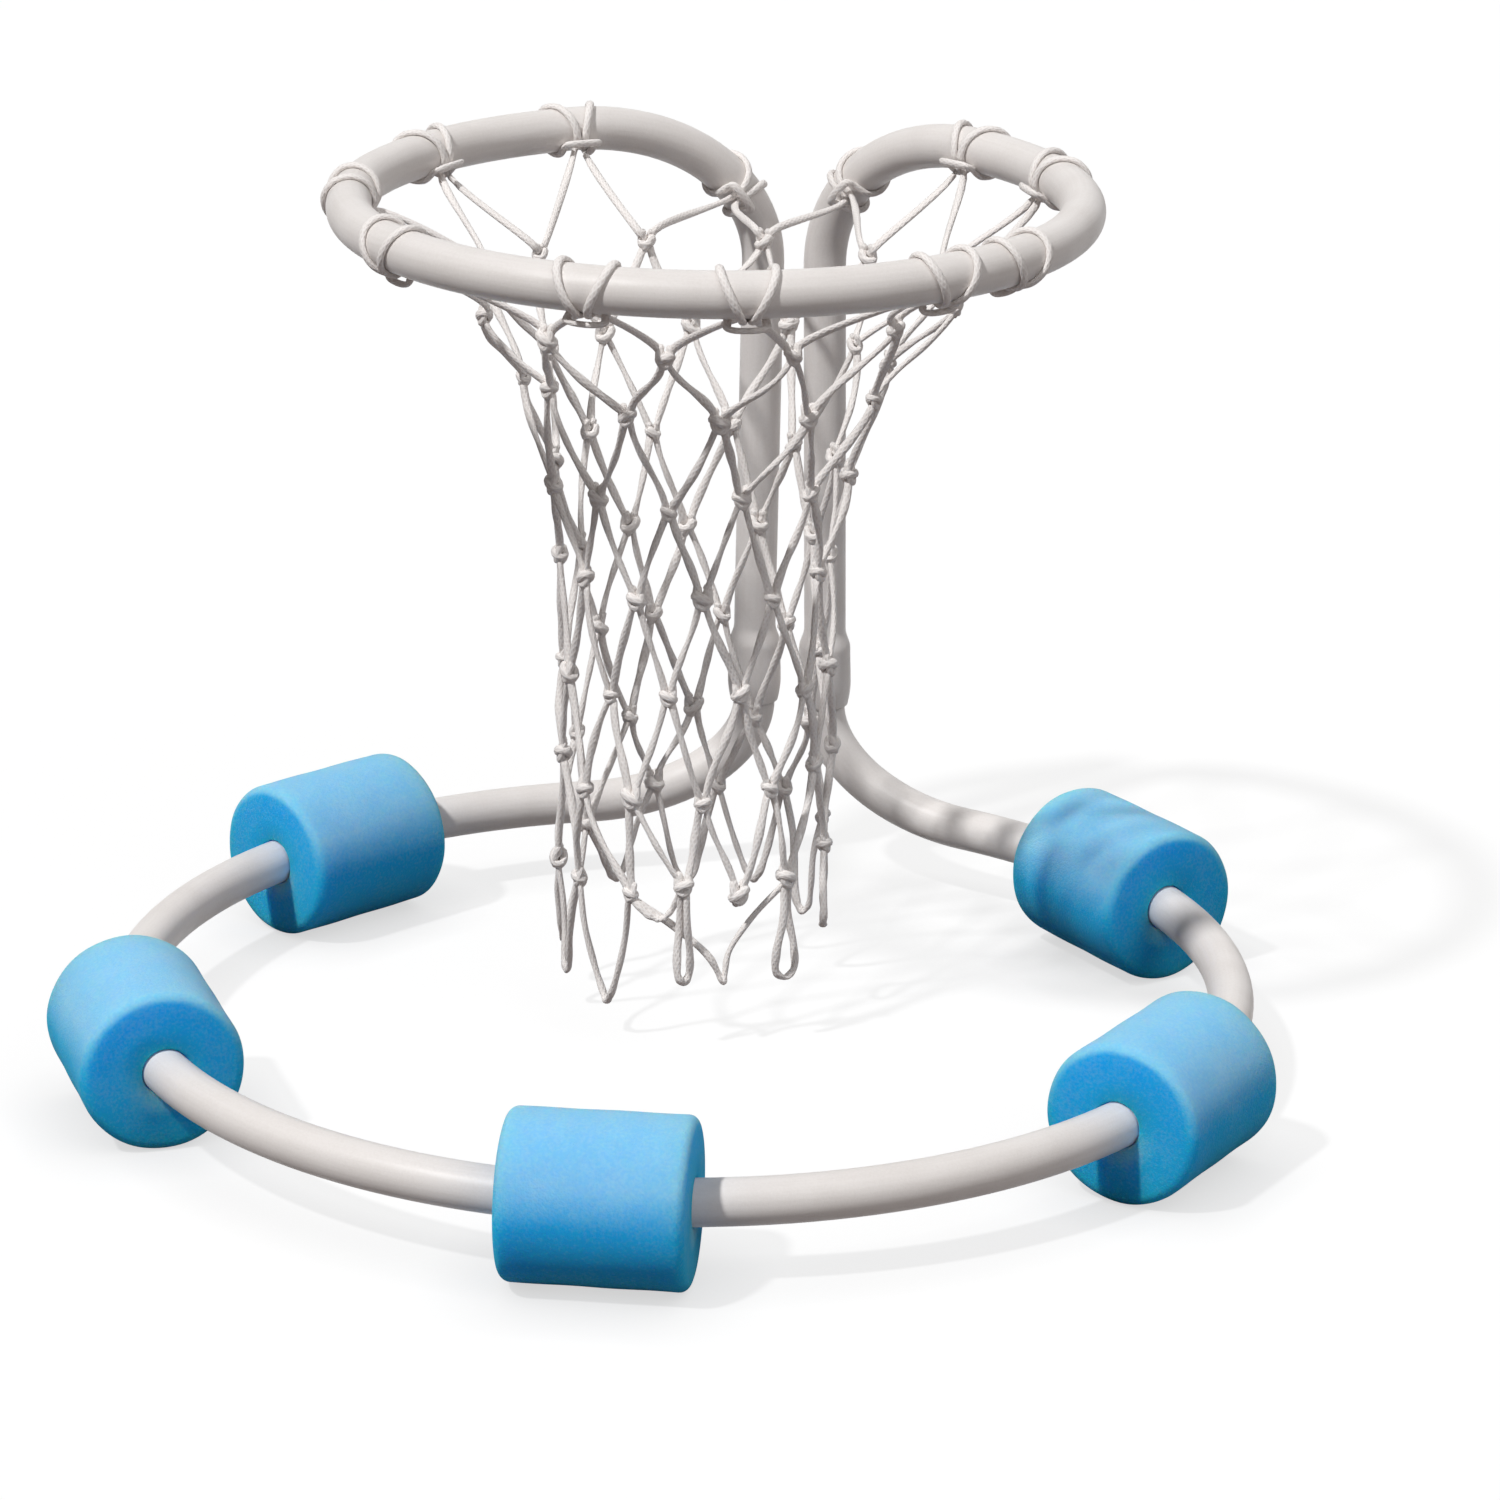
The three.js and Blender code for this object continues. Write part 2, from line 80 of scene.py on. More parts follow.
@dataclass(frozen=True)
class Station:
    """One stop on a tube's route: its place, its heading, and the two radii of the tube there."""

    point: Vector
    tangent: Vector
    outer: float = 0.0
    inner: float = 0.0

    def sized(self, outer: float, inner: float) -> "Station":
        """The same stop with these radii."""
        return Station(self.point, self.tangent, outer, inner)


@dataclass(frozen=True)
class Frame:
    """A point on a route with the two directions that stand across it."""

    point: Vector
    side: Vector
    back: Vector

    def around(self, angle: float, radius: float, flat: float = 1.0) -> Vector:
        """A point round the route, where flat below one presses the section from the back."""
        across = self.side * (radius * math.cos(angle))
        return self.point + across + self.back * (radius * flat * math.sin(angle))

    def turned(self, turn: float) -> "Frame":
        """The same point with its two directions turned about the route."""
        side = self.side * math.cos(turn) + self.back * math.sin(turn)
        return Frame(self.point, side, self.back * math.cos(turn) - self.side * math.sin(turn))


@dataclass(frozen=True)
class Varied:
    """A value that differs from strand to strand: its usual size, how far it swings, and in what wave."""

    usual: float
    swing: float
    rate: float
    wave: Callable[[float], float] = math.sin

    def at(self, seed: float) -> float:
        """The value for one strand."""
        return self.usual + self.swing * self.wave(self.rate * seed)


def on_circle(radius: float, angle: float) -> Vector:
    """Where a clockwise angle meets a level circle about the origin."""
    return Vector((radius * math.sin(angle), radius * math.cos(angle), 0.0))


def clockwise(angle: float) -> Vector:
    """The clockwise heading on a level circle at this angle."""
    return Vector((math.cos(angle), -math.sin(angle), 0.0))


def ease(share: float) -> float:
    """A share from 0 to 1 that starts and ends gently."""
    return share * share * (3 - 2 * share)


def turns(count: int) -> list[float]:
    """The angles of equal steps once around."""
    return [FULL_TURN * i / count for i in range(count)]


def framed(points: list[Vector], tangents: list[Vector]) -> list[Frame]:
    """Carries a side direction along a route without twisting it.

    Args:
        points: the route.
        tangents: its heading at each point.

    Returns:
        One frame for each point.
    """
    steep = 0.7
    side = Vector((1.0, 0.0, 0.0)) if abs(tangents[0].z) > steep else UP.copy()
    frames = []
    for point, tangent in zip(points, tangents):
        side = (side - tangent * side.dot(tangent)).normalized()
        frames.append(Frame(point, side, tangent.cross(side)))
    return frames


def faced(points: list[Vector], tangents: list[Vector], outs: list[Vector]) -> list[Frame]:
    """Frames along a route whose backs look along given directions.

    Args:
        points: the route.
        tangents: its heading at each point.
        outs: where the back should look at each point.

    Returns:
        One frame for each point.
    """
    frames = []
    for point, tangent, out in zip(points, tangents, outs):
        back = (out - tangent * out.dot(tangent)).normalized()
        frames.append(Frame(point, back.cross(tangent), back))
    return frames


def headings(points: list[Vector]) -> list[Vector]:
    """The heading of an open route at each of its points."""
    last = len(points) - 1
    return [(points[min(i + 1, last)] - points[max(i - 1, 0)]).normalized() for i in range(last + 1)]


def in_scene(name: str, data: bpy.types.ID) -> bpy.types.Object:
    """Makes an object and puts it into the scene.

    Args:
        name: the object's name.
        data: its mesh, lamp or camera.

    Returns:
        The object.
    """
    made = bpy.data.objects.new(name, data)
    bpy.context.scene.collection.objects.link(made)
    return made


def rounded_route(points: list[Vector], steps: int) -> list[Vector]:
    """A smooth route through some points.

    Args:
        points: what the route passes through.
        steps: how many short stretches make the way from one point to the next.

    Returns:
        The points of the smooth route.
    """
    ends = [points[0] * 2 - points[1], *points, points[-1] * 2 - points[-2]]
    route = []
    for i in range(1, len(ends) - 2):
        p0, p1, p2, p3 = ends[i - 1:i + 3]
        t1 = math.sqrt((p1 - p0).length)
        t2 = t1 + math.sqrt((p2 - p1).length)
        t3 = t2 + math.sqrt((p3 - p2).length)
        for step in range(steps):
            t = t1 + (t2 - t1) * step / steps
            a1 = p0.lerp(p1, t / t1)
            a2 = p1.lerp(p2, (t - t1) / (t2 - t1))
            a3 = p2.lerp(p3, (t - t2) / (t3 - t2))
            b1 = a1.lerp(a2, t / t2)
            b2 = a2.lerp(a3, (t - t1) / (t3 - t1))
            route.append(b1.lerp(b2, (t - t1) / (t2 - t1)))
    return [*route, points[-1]]


@dataclass(frozen=True)
class Lie:
    """How a soft, flattened cord lies.

    flat is its thickness for its width, outs is where its flat side looks, all along it or at each point,
    start and twist are how far it is turned, and swell is how much its width wanders.
    """

    flat: float = 0.72
    outs: tuple[Vector, ...] = ()
    start: float = 0.0
    twist: float = 0.0
    swell: float = 0.0


class Skin:
    """A surface under construction, with a map that runs once around it and in metres along it."""

    cord_sides: int = 12
    coil_sides: int = 10
    tip_reach_share: float = 0.6
    tip_width_share: float = 0.5
    swell_rate: float = 0.9
    swell_start: float = 7.0

    def __init__(self) -> None:
        """Starts with no points and no faces."""
        self.points: list[Vector] = []
        self.faces: list[list[int]] = []
        self.marks: list[Pair] = []

    def ring(self, points: list[Vector]) -> list[int]:
        """Adds a closed ring of points.

        Args:
            points: the ring.

        Returns:
            The numbers of its points.
        """
        first = len(self.points)
        self.points.extend(points)
        return list(range(first, len(self.points)))

    def band(self, start: list[int], end: list[int], along: Pair) -> None:
        """Joins two rings of equal count that run counterclockwise about the way from start to end.

        Args:
            start: the first ring.
            end: the second ring.
            along: how far along the piece the two rings are.
        """
        count = len(start)
        for i in range(count):
            j = (i + 1) % count
            self.faces.append([start[i], start[j], end[j], end[i]])
            left, right = i / count, (i + 1) / count
            self.marks += [(left, along[0]), (right, along[0]), (right, along[1]), (left, along[1])]

    def cap(self, ring: list[int], along: float) -> None:
        """Closes a ring that runs counterclockwise as seen from outside."""
        self.faces.append(list(ring))
        self.marks += [(i / len(ring), along) for i in range(len(ring))]

    def tube(self, stations: list[Station], sides: int) -> None:
        """Adds an open-ended tube with a bore.

        Args:
            stations: its route, with both radii at each stop.
            sides: how many sides its outside has.
        """
        frames = framed([s.point for s in stations], [s.tangent for s in stations])
        angles = turns(sides)
        outer = [self.ring([f.around(a, s.outer) for a in angles]) for f, s in zip(frames, stations)]
        inner = [self.ring([f.around(a, s.inner) for a in angles]) for f, s in zip(frames, stations)]
        along = 0.0
        for i in range(len(stations) - 1):
            ahead = along + (stations[i + 1].point - stations[i].point).length
            self.band(outer[i], outer[i + 1], (along, ahead))
            self.band(inner[i + 1], inner[i], (ahead, along))
            along = ahead
        self.band(outer[-1], inner[-1], (along, along + stations[-1].outer - stations[-1].inner))
        self.band(inner[0], outer[0], (stations[0].inner - stations[0].outer, 0.0))

    def cord(self, route: list[Vector], radius: float, shape: Lie) -> None:
        """Adds a cord with rounded ends.

        Args:
            route: its middle line.
            radius: half its width.
            shape: how flat it is and how it turns.
        """
        tangents = headings(route)
        last = len(route) - 1
        outs = shape.outs if len(shape.outs) > 1 else shape.outs * (last + 1)
        level = faced(route, tangents, outs) if outs else framed(route, tangents)
        frames = [stop.turned(shape.start + shape.twist * i / last) for i, stop in enumerate(level)]
        angles = turns(self.cord_sides)
        rings = []
        for i, stop in enumerate(frames):
            wave = math.sin(self.swell_rate * i + self.swell_start * shape.start)
            wide = radius * (1 + shape.swell * wave * math.sin(math.pi * i / last))
            rings.append(self.ring([stop.around(a, wide, shape.flat) for a in angles]))
        along = 0.0
        for i in range(last):
            ahead = along + (route[i + 1] - route[i]).length
            self.band(rings[i], rings[i + 1], (along, ahead))
            along = ahead
        for end, sign in ((0, -1), (-1, 1)):
            ring, stop, tangent = rings[end], frames[end], tangents[end]
            point = stop.point + tangent * (sign * radius * self.tip_reach_share)
            tip = Frame(point, stop.side, stop.back)
            small = self.ring([tip.around(a, radius * self.tip_width_share, shape.flat) for a in angles])
            if sign > 0:
                self.band(ring, small, (along, along + radius))
                self.cap(small, along + radius)
            else:
                self.band(small, ring, (-radius, 0.0))
                self.cap(small[::-1], -radius)

    def coil(self, route: list[Vector], radius: float, flat: float = 1.0) -> None:
        """Adds a closed turn of cord.

        Args:
            route: its middle line, without the first point again at the end.
            radius: half the cord's width.
            flat: how thick it is for its width, measured outward from the middle of the turn.
        """
        count = len(route)
        tangents = [(route[(i + 1) % count] - route[i - 1]).normalized() for i in range(count)]
        middle = sum(route, Vector()) / count
        frames = faced(route, tangents, [point - middle for point in route])
        angles = turns(self.coil_sides)
        rings = [self.ring([stop.around(a, radius, flat) for a in angles]) for stop in frames]
        step = (route[1] - route[0]).length
        for i in range(count):
            self.band(rings[i], rings[(i + 1) % count], (step * i, step * (i + 1)))

    def piece(self, name: str, sharp: float = 40.0) -> bpy.types.Object:
        """Makes an object of the surface.

        Args:
            name: the object's name.
            sharp: the angle in degrees from which an edge is hard.

        Returns:
            The new object, in the scene.
        """
        mesh = bpy.data.meshes.new(name)
        mesh.from_pydata([tuple(p) for p in self.points], [], self.faces)
        layer = mesh.uv_layers.new(name="run")
        for loop, mark in zip(layer.data, self.marks):
            loop.uv = mark
        mesh.polygons.foreach_set("use_smooth", [True] * len(mesh.polygons))
        mesh.set_sharp_from_angle(angle=math.radians(sharp))
        mesh.validate()
        return in_scene(name, mesh)


class Nodes:
    """A tree of shader nodes under construction."""

    def __init__(self, tree: bpy.types.NodeTree) -> None:
        """Takes the tree that the nodes go into."""
        self.tree = tree

    def node(self, kind: str, inputs: dict | None = None, **settings: object) -> bpy.types.Node:
        """Adds a node.

        Args:
            kind: the node's type.
            inputs: for each input, by name or place, a number or colour or the output that feeds it.
            settings: the node's own settings.

        Returns:
            The node.
        """
        made = self.tree.nodes.new(kind)
        for key, value in settings.items():
            setattr(made, key, value)
        for key, value in (inputs or {}).items():
            self.feed(made.inputs[key], value)
        return made

    def feed(self, socket: bpy.types.NodeSocket, value: object) -> None:
        """Joins an output to a socket, or sets the socket's own value.

        Args:
            socket: the input to feed.
            value: an output, or a number or colour.
        """
        if isinstance(value, bpy.types.NodeSocket):
            self.tree.links.new(value, socket)
        else:
            socket.default_value = value

    def maths(self, first: object, second: object, kind: str = "ADD") -> bpy.types.NodeSocket:
        """Adds two values up, or joins them by another kind of sum."""
        return self.node("ShaderNodeMath", {0: first, 1: second}, operation=kind).outputs[0]

    def seen_directly(self) -> bpy.types.NodeSocket:
        """One where the camera, a reflection or a view through something looks, and else zero.

        Returns:
            The output that holds it.
        """
        path = self.node("ShaderNodeLightPath").outputs
        glossy = self.maths(path["Is Glossy Ray"], path["Is Transmission Ray"], "MAXIMUM")
        return self.maths(path["Is Camera Ray"], glossy, "MAXIMUM")


@dataclass(frozen=True)
class Blots:
    """Cloudy unevenness: how many blots there are to the metre, and how fine their edges are."""

    scale: float
    detail: float


class Weave(Nodes):
    """The nodes of one finish, which feed its shader."""

    def __init__(self, name: str) -> None:
        """Starts a material that holds only its shader.

        Args:
            name: the material's name.
        """
        self.material = bpy.data.materials.new(name)
        self.material.use_nodes = True
        super().__init__(self.material.node_tree)
        self.shader = self.tree.nodes["Principled BSDF"]

    def look(self, values: dict[str, object]) -> None:
        """Sets or feeds some of the shader's own sockets."""
        for name, value in values.items():
            self.feed(self.shader.inputs[name], value)

    def place(self) -> bpy.types.NodeSocket:
        """The point on the object."""
        return self.node("ShaderNodeTexCoord").outputs["Object"]

    def marks(self) -> tuple[bpy.types.NodeSocket, bpy.types.NodeSocket]:
        """The place on the piece's map.

        Returns:
            How far around it is, as a share, and how far along in metres.
        """
        run = self.node("ShaderNodeUVMap", uv_map="run").outputs["UV"]
        split = self.node("ShaderNodeSeparateXYZ", {0: run}).outputs
        return split["X"], split["Y"]

    def noise(self, place: bpy.types.NodeSocket, blots: Blots) -> bpy.types.NodeSocket:
        """Cloudy unevenness about one half."""
        inputs = {"Vector": place, "Scale": blots.scale, "Detail": blots.detail}
        return self.node("ShaderNodeTexNoise", inputs).outputs["Fac"]

    def span(self, value: bpy.types.NodeSocket, source: Pair, to: Pair) -> bpy.types.NodeSocket:
        """Stretches a value from one span to another."""
        ends = {"From Min": source[0], "From Max": source[1], "To Min": to[0], "To Max": to[1]}
        return self.node("ShaderNodeMapRange", {"Value": value, **ends}).outputs["Result"]

    def blend(self, share: bpy.types.NodeSocket, first: Colour, second: Colour) -> bpy.types.NodeSocket:
        """Mixes two colours."""
        return self.node("ShaderNodeMix", {0: share, 6: first, 7: second}, data_type="RGBA").outputs[2]

    def bump(self, height: bpy.types.NodeSocket, depth: float) -> None:
        """Raises the surface by a height, with depth in metres."""
        made = self.node("ShaderNodeBump", {"Height": height, "Distance": depth, "Strength": 1.0})
        self.look({"Normal": made.outputs["Normal"]})


@dataclass(frozen=True)
class TubeFinish:
    """Satin white plastic pipe with faint drawing lines, clouded grain and a little handling wear."""

    colour: Colour = (0.80, 0.765, 0.742, 1.0)
    worn: Colour = (0.70, 0.66, 0.63, 1.0)
    wear_span: Pair = (1.3, 2.0)
    wear_share: float = 0.6
    roughness: Pair = (0.36, 0.5)
    gloss: float = 0.35
    clouds: Blots = Blots(38.0, 5.0)
    grain: Blots = Blots(1500.0, 2.0)
    specks: Blots = Blots(700.0, 3.0)
    lines: Blots = Blots(7.0, 4.0)
    line_run: float = 3.0
    line_share: float = 0.8
    grain_depth: float = 0.00007

    def material(self) -> bpy.types.Material:
        """Builds the finish.

        Returns:
            Its material.
        """
        weave = Weave("satin_pipe")
        place = weave.place()
        share, along = weave.marks()
        turn = weave.maths(share, FULL_TURN, "MULTIPLY")
        around = weave.node("ShaderNodeCombineXYZ", {
            "X": weave.maths(turn, 0.0, "COSINE"),
            "Y": weave.maths(turn, 0.0, "SINE"),
            "Z": weave.maths(along, self.line_run, "MULTIPLY"),
        }).outputs[0]
        lines = weave.noise(around, self.lines)
        clouds = weave.noise(place, self.clouds)
        grain = weave.noise(place, self.grain)
        specks = weave.noise(place, self.specks)
        marked = weave.maths(weave.maths(lines, clouds), specks)
        wear = weave.span(marked, self.wear_span, (0.0, self.wear_share))
        weave.look({
            "Base Color": weave.blend(wear, self.colour, self.worn),
            "Roughness": weave.span(clouds, USUAL_NOISE, self.roughness),
            "Specular IOR Level": self.gloss,
        })
        weave.bump(weave.maths(grain, weave.maths(lines, self.line_share, "MULTIPLY")), self.grain_depth)
        return weave.material


@dataclass(frozen=True)
class FoamFinish:
    """Sky-blue closed-cell foam: a matte skin of fine cells, with painted light that makes it paler where
    it faces up.
    """

    colour: Colour = (0.0, 0.44, 0.98, 1.0)
    # The paler blue is painted light, given to the upper side as a painted highlight.
    pale: Colour = (0.28, 0.61, 0.91, 1.0)
    painted_light_facing: Pair = (-0.03, 0.5)
    painted_light_share: float = 0.82
    fleck_span: Pair = (0.6, 0.95)
    fleck_shares: Pair = (-0.1, 0.16)
    cloud_share: float = 0.5
    roughness: Pair = (0.8, 0.98)
    gloss: float = 0.08
    glow_reach: Place = (0.1, 0.55, 1.0)
    glow_depth: float = 0.035
    glow_share: float = 0.8
    sheen: float = 0.06
    sheen_roughness: float = 0.8
    cell_scale: float = 950.0
    speckle: Blots = Blots(570.0, 4.0)
    clouds: Blots = Blots(45.0, 4.0)
    cell_depth: float = 0.00022

    def material(self) -> bpy.types.Material:
        """Builds the finish.

        Returns:
            Its material.
        """
        weave = Weave("cell_foam")
        place = weave.place()
        cells = weave.node("ShaderNodeTexVoronoi", {"Vector": place, "Scale": self.cell_scale})
        speckle = weave.noise(place, self.speckle)
        clouds = weave.noise(place, self.clouds)
        # Painted light: the colour turns paler the more the surface faces up, a painted highlight on the
        # upper side; the flecks are the foam's own mottling.
        facing = weave.node("ShaderNodeNewGeometry").outputs["Normal"]
        upward = weave.node("ShaderNodeSeparateXYZ", {0: facing}).outputs["Z"]
        painted_top_light = weave.span(upward, self.painted_light_facing, (0.0, self.painted_light_share))
        mottled = weave.maths(speckle, weave.maths(clouds, self.cloud_share, "MULTIPLY"))
        fleck = weave.span(mottled, self.fleck_span, self.fleck_shares)
        weave.look({
            "Base Color": weave.blend(weave.maths(painted_top_light, fleck), self.colour, self.pale),
            "Roughness": weave.span(speckle, USUAL_NOISE, self.roughness),
            "Specular IOR Level": self.gloss,
            "Sheen Weight": self.sheen,
            "Sheen Roughness": self.sheen_roughness,
            "Subsurface Weight": self.glow_share,
            "Subsurface Radius": self.glow_reach,
            "Subsurface Scale": self.glow_depth,
        })
        weave.bump(weave.maths(cells.outputs["Distance"], speckle), self.cell_depth)
        return weave.material


@dataclass(frozen=True)
class CordFinish:
    """Off-white braided cord, a little fluffy, with its strands crossing round it and painted shade in the
    grooves between them.
    """

    colour: Colour = (0.92, 0.885, 0.86, 1.0)
    # The groove colour is painted shade in the hollows between the braid's strands, with real soil
    # mottling mixed in.
    groove: Colour = (0.76, 0.70, 0.67, 1.0)
    groove_span: Pair = (-0.3, 1.1)
    groove_share: float = 0.6
    strands: float = 6.0
    pitch: float = 0.0048
    roughness: Pair = (0.75, 0.95)
    gloss: float = 0.25
    sheen: float = 0.25
    fluff: Blots = Blots(1800.0, 2.0)
    soil: Blots = Blots(60.0, 4.0)
    soil_share: float = 1.2
    braid_depth: float = 0.00010

    def material(self) -> bpy.types.Material:
        """Builds the finish.

        Returns:
            Its material.
        """
        weave = Weave("braided_cord")
        place = weave.place()
        share, run = weave.marks()
        around = weave.maths(share, FULL_TURN * self.strands, "MULTIPLY")
        along = weave.maths(run, FULL_TURN / self.pitch, "MULTIPLY")
        right = weave.maths(weave.maths(around, along), 0.0, "SINE")
        left = weave.maths(weave.maths(around, along, "SUBTRACT"), 0.0, "SINE")
        braid = weave.maths(right, left, "MAXIMUM")
        fluff = weave.noise(place, self.fluff)
        soil = weave.noise(place, self.soil)
        # Painted shade: the braid's grooves get the darker groove colour, mixed with real soil mottling
        # from the noise.
        groove_shade_and_soil = weave.maths(braid, weave.maths(soil, self.soil_share, "MULTIPLY"))
        shade_and_soil_share = weave.span(groove_shade_and_soil, self.groove_span, (self.groove_share, 0.0))
        weave.look({
            "Base Color": weave.blend(shade_and_soil_share, self.colour, self.groove),
            "Roughness": weave.span(fluff, USUAL_NOISE, self.roughness),
            "Specular IOR Level": self.gloss,
            "Sheen Weight": self.sheen,
        })
        weave.bump(weave.maths(braid, fluff), self.braid_depth)
        return weave.material


@dataclass
class Dresser:
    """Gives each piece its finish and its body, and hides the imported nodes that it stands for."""

    finishes: dict[Slot, bpy.types.Material] = field(default_factory=dict)

    def prepare(self) -> None:
        """Builds the three finishes."""
        self.finishes = {
            Slot.TUBE: TubeFinish().material(),
            Slot.FOAM: FoamFinish().material(),
            Slot.CORD: CordFinish().material(),
        }

    def dress(self, piece: bpy.types.Object, slot: Slot, body: str, *nodes: str) -> bpy.types.Object:
        """Finishes one piece.

        Args:
            piece: the new object.
            slot: the material slot that it takes its finish from.
            body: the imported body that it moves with.
            nodes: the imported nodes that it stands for.

        Returns:
            The same piece.
        """
        piece.data.materials.append(self.finishes[slot])
        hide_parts(*nodes)
        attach(piece, body)
        log.info("%s: %d faces, %s, on %s", piece.name, len(piece.data.polygons), slot.value, body)
        return piece


@dataclass
class Pipe:
    """The pipe that the hoop and the ring are bent from."""

    radius: float = 0.0125
    bore: float = 0.0097
    sides: int = 48
    edge: float = 0.0006
    ring_step: float = math.radians(2)
    bend_steps: int = 28

    def plain(self, stations: list[Station]) -> list[Station]:
        """The stations with the pipe's own radii."""
        return [s.sized(self.radius, self.bore) for s in stations]

    def arc(self, centre: Vector, radius: float, start: float, end: float) -> list[Station]:
        """Stations on a level circle.

        Args:
            centre: the circle's middle.
            radius: its radius.
            start: the first clockwise angle.
            end: the last one.

        Returns:
            The stations from start to end.
        """
        count = max(2, round((end - start) / self.ring_step))
        angles = [start + (end - start) * i / count for i in range(count + 1)]
        return [Station(centre + on_circle(radius, a), clockwise(a)) for a in angles]

    @staticmethod
    def bend_angle(radius: float, run: float, offset: float) -> float:
        """The angle at which a bend leaves its circle so that it ends offset from the middle."""
        return math.atan2(run, radius) + math.asin(offset / math.hypot(radius, run))

    def bend_reach(self, radius: float, run: float, offset: float) -> float:
        """How far behind its circle's centre a bend ends."""
        angle = self.bend_angle(radius, run, offset)
        return radius * math.cos(angle) + run * math.sin(angle)

    def bend(self, centre: Vector, radius: float, run: float, rise: float, offset: float) -> list[Station]:
        """Stations of the bend on the right, from its upright end to its circle, which it leaves out.

        Args:
            centre: the circle's middle.
            radius: the circle's radius.
            run: how far the bend reaches along the circle's tangent.
            rise: how far it goes up, or down where it is negative.
            offset: how far from the middle it ends.

        Returns:
            Its stations.
        """
        angle = self.bend_angle(radius, run, offset)
        start = centre + on_circle(radius, angle)
        inward = -clockwise(angle)
        stations = []
        for i in range(self.bend_steps):
            turn = math.pi / 2 * (1 - i / self.bend_steps)
            point = start + inward * (run * math.sin(turn)) + UP * (rise * (1 - math.cos(turn)))
            heading = inward * (-run * math.cos(turn)) - UP * (rise * math.sin(turn))
            stations.append(Station(point, heading.normalized()))
        return stations

    @staticmethod
    def mirrored(stations: list[Station], middle: float) -> list[Station]:
        """The same stations on the left of a middle plane, travelled the other way.

        Args:
            stations: those on the right.
            middle: where the plane stands from left to right.

        Returns:
            Those on the left, last one first.
        """
        left = []
        for s in reversed(stations):
            point = Vector((2 * middle - s.point.x, s.point.y, s.point.z))
            tangent = Vector((s.tangent.x, -s.tangent.y, -s.tangent.z))
            left.append(Station(point, tangent, s.outer, s.inner))
        return left

    def cut(self, station: Station, away: int) -> list[Station]:
        """A cut end with its edge broken.

        Args:
            station: where the pipe has its full wall for the last time.
            away: -1 where the pipe starts there and 1 where it ends.

        Returns:
            The station and the narrower one at the cut.
        """
        tip = Station(station.point + station.tangent * (self.edge * away), station.tangent)
        full = station.sized(self.radius, self.bore)
        return [full, tip.sized(self.radius - self.edge, self.bore + self.edge / 2)]


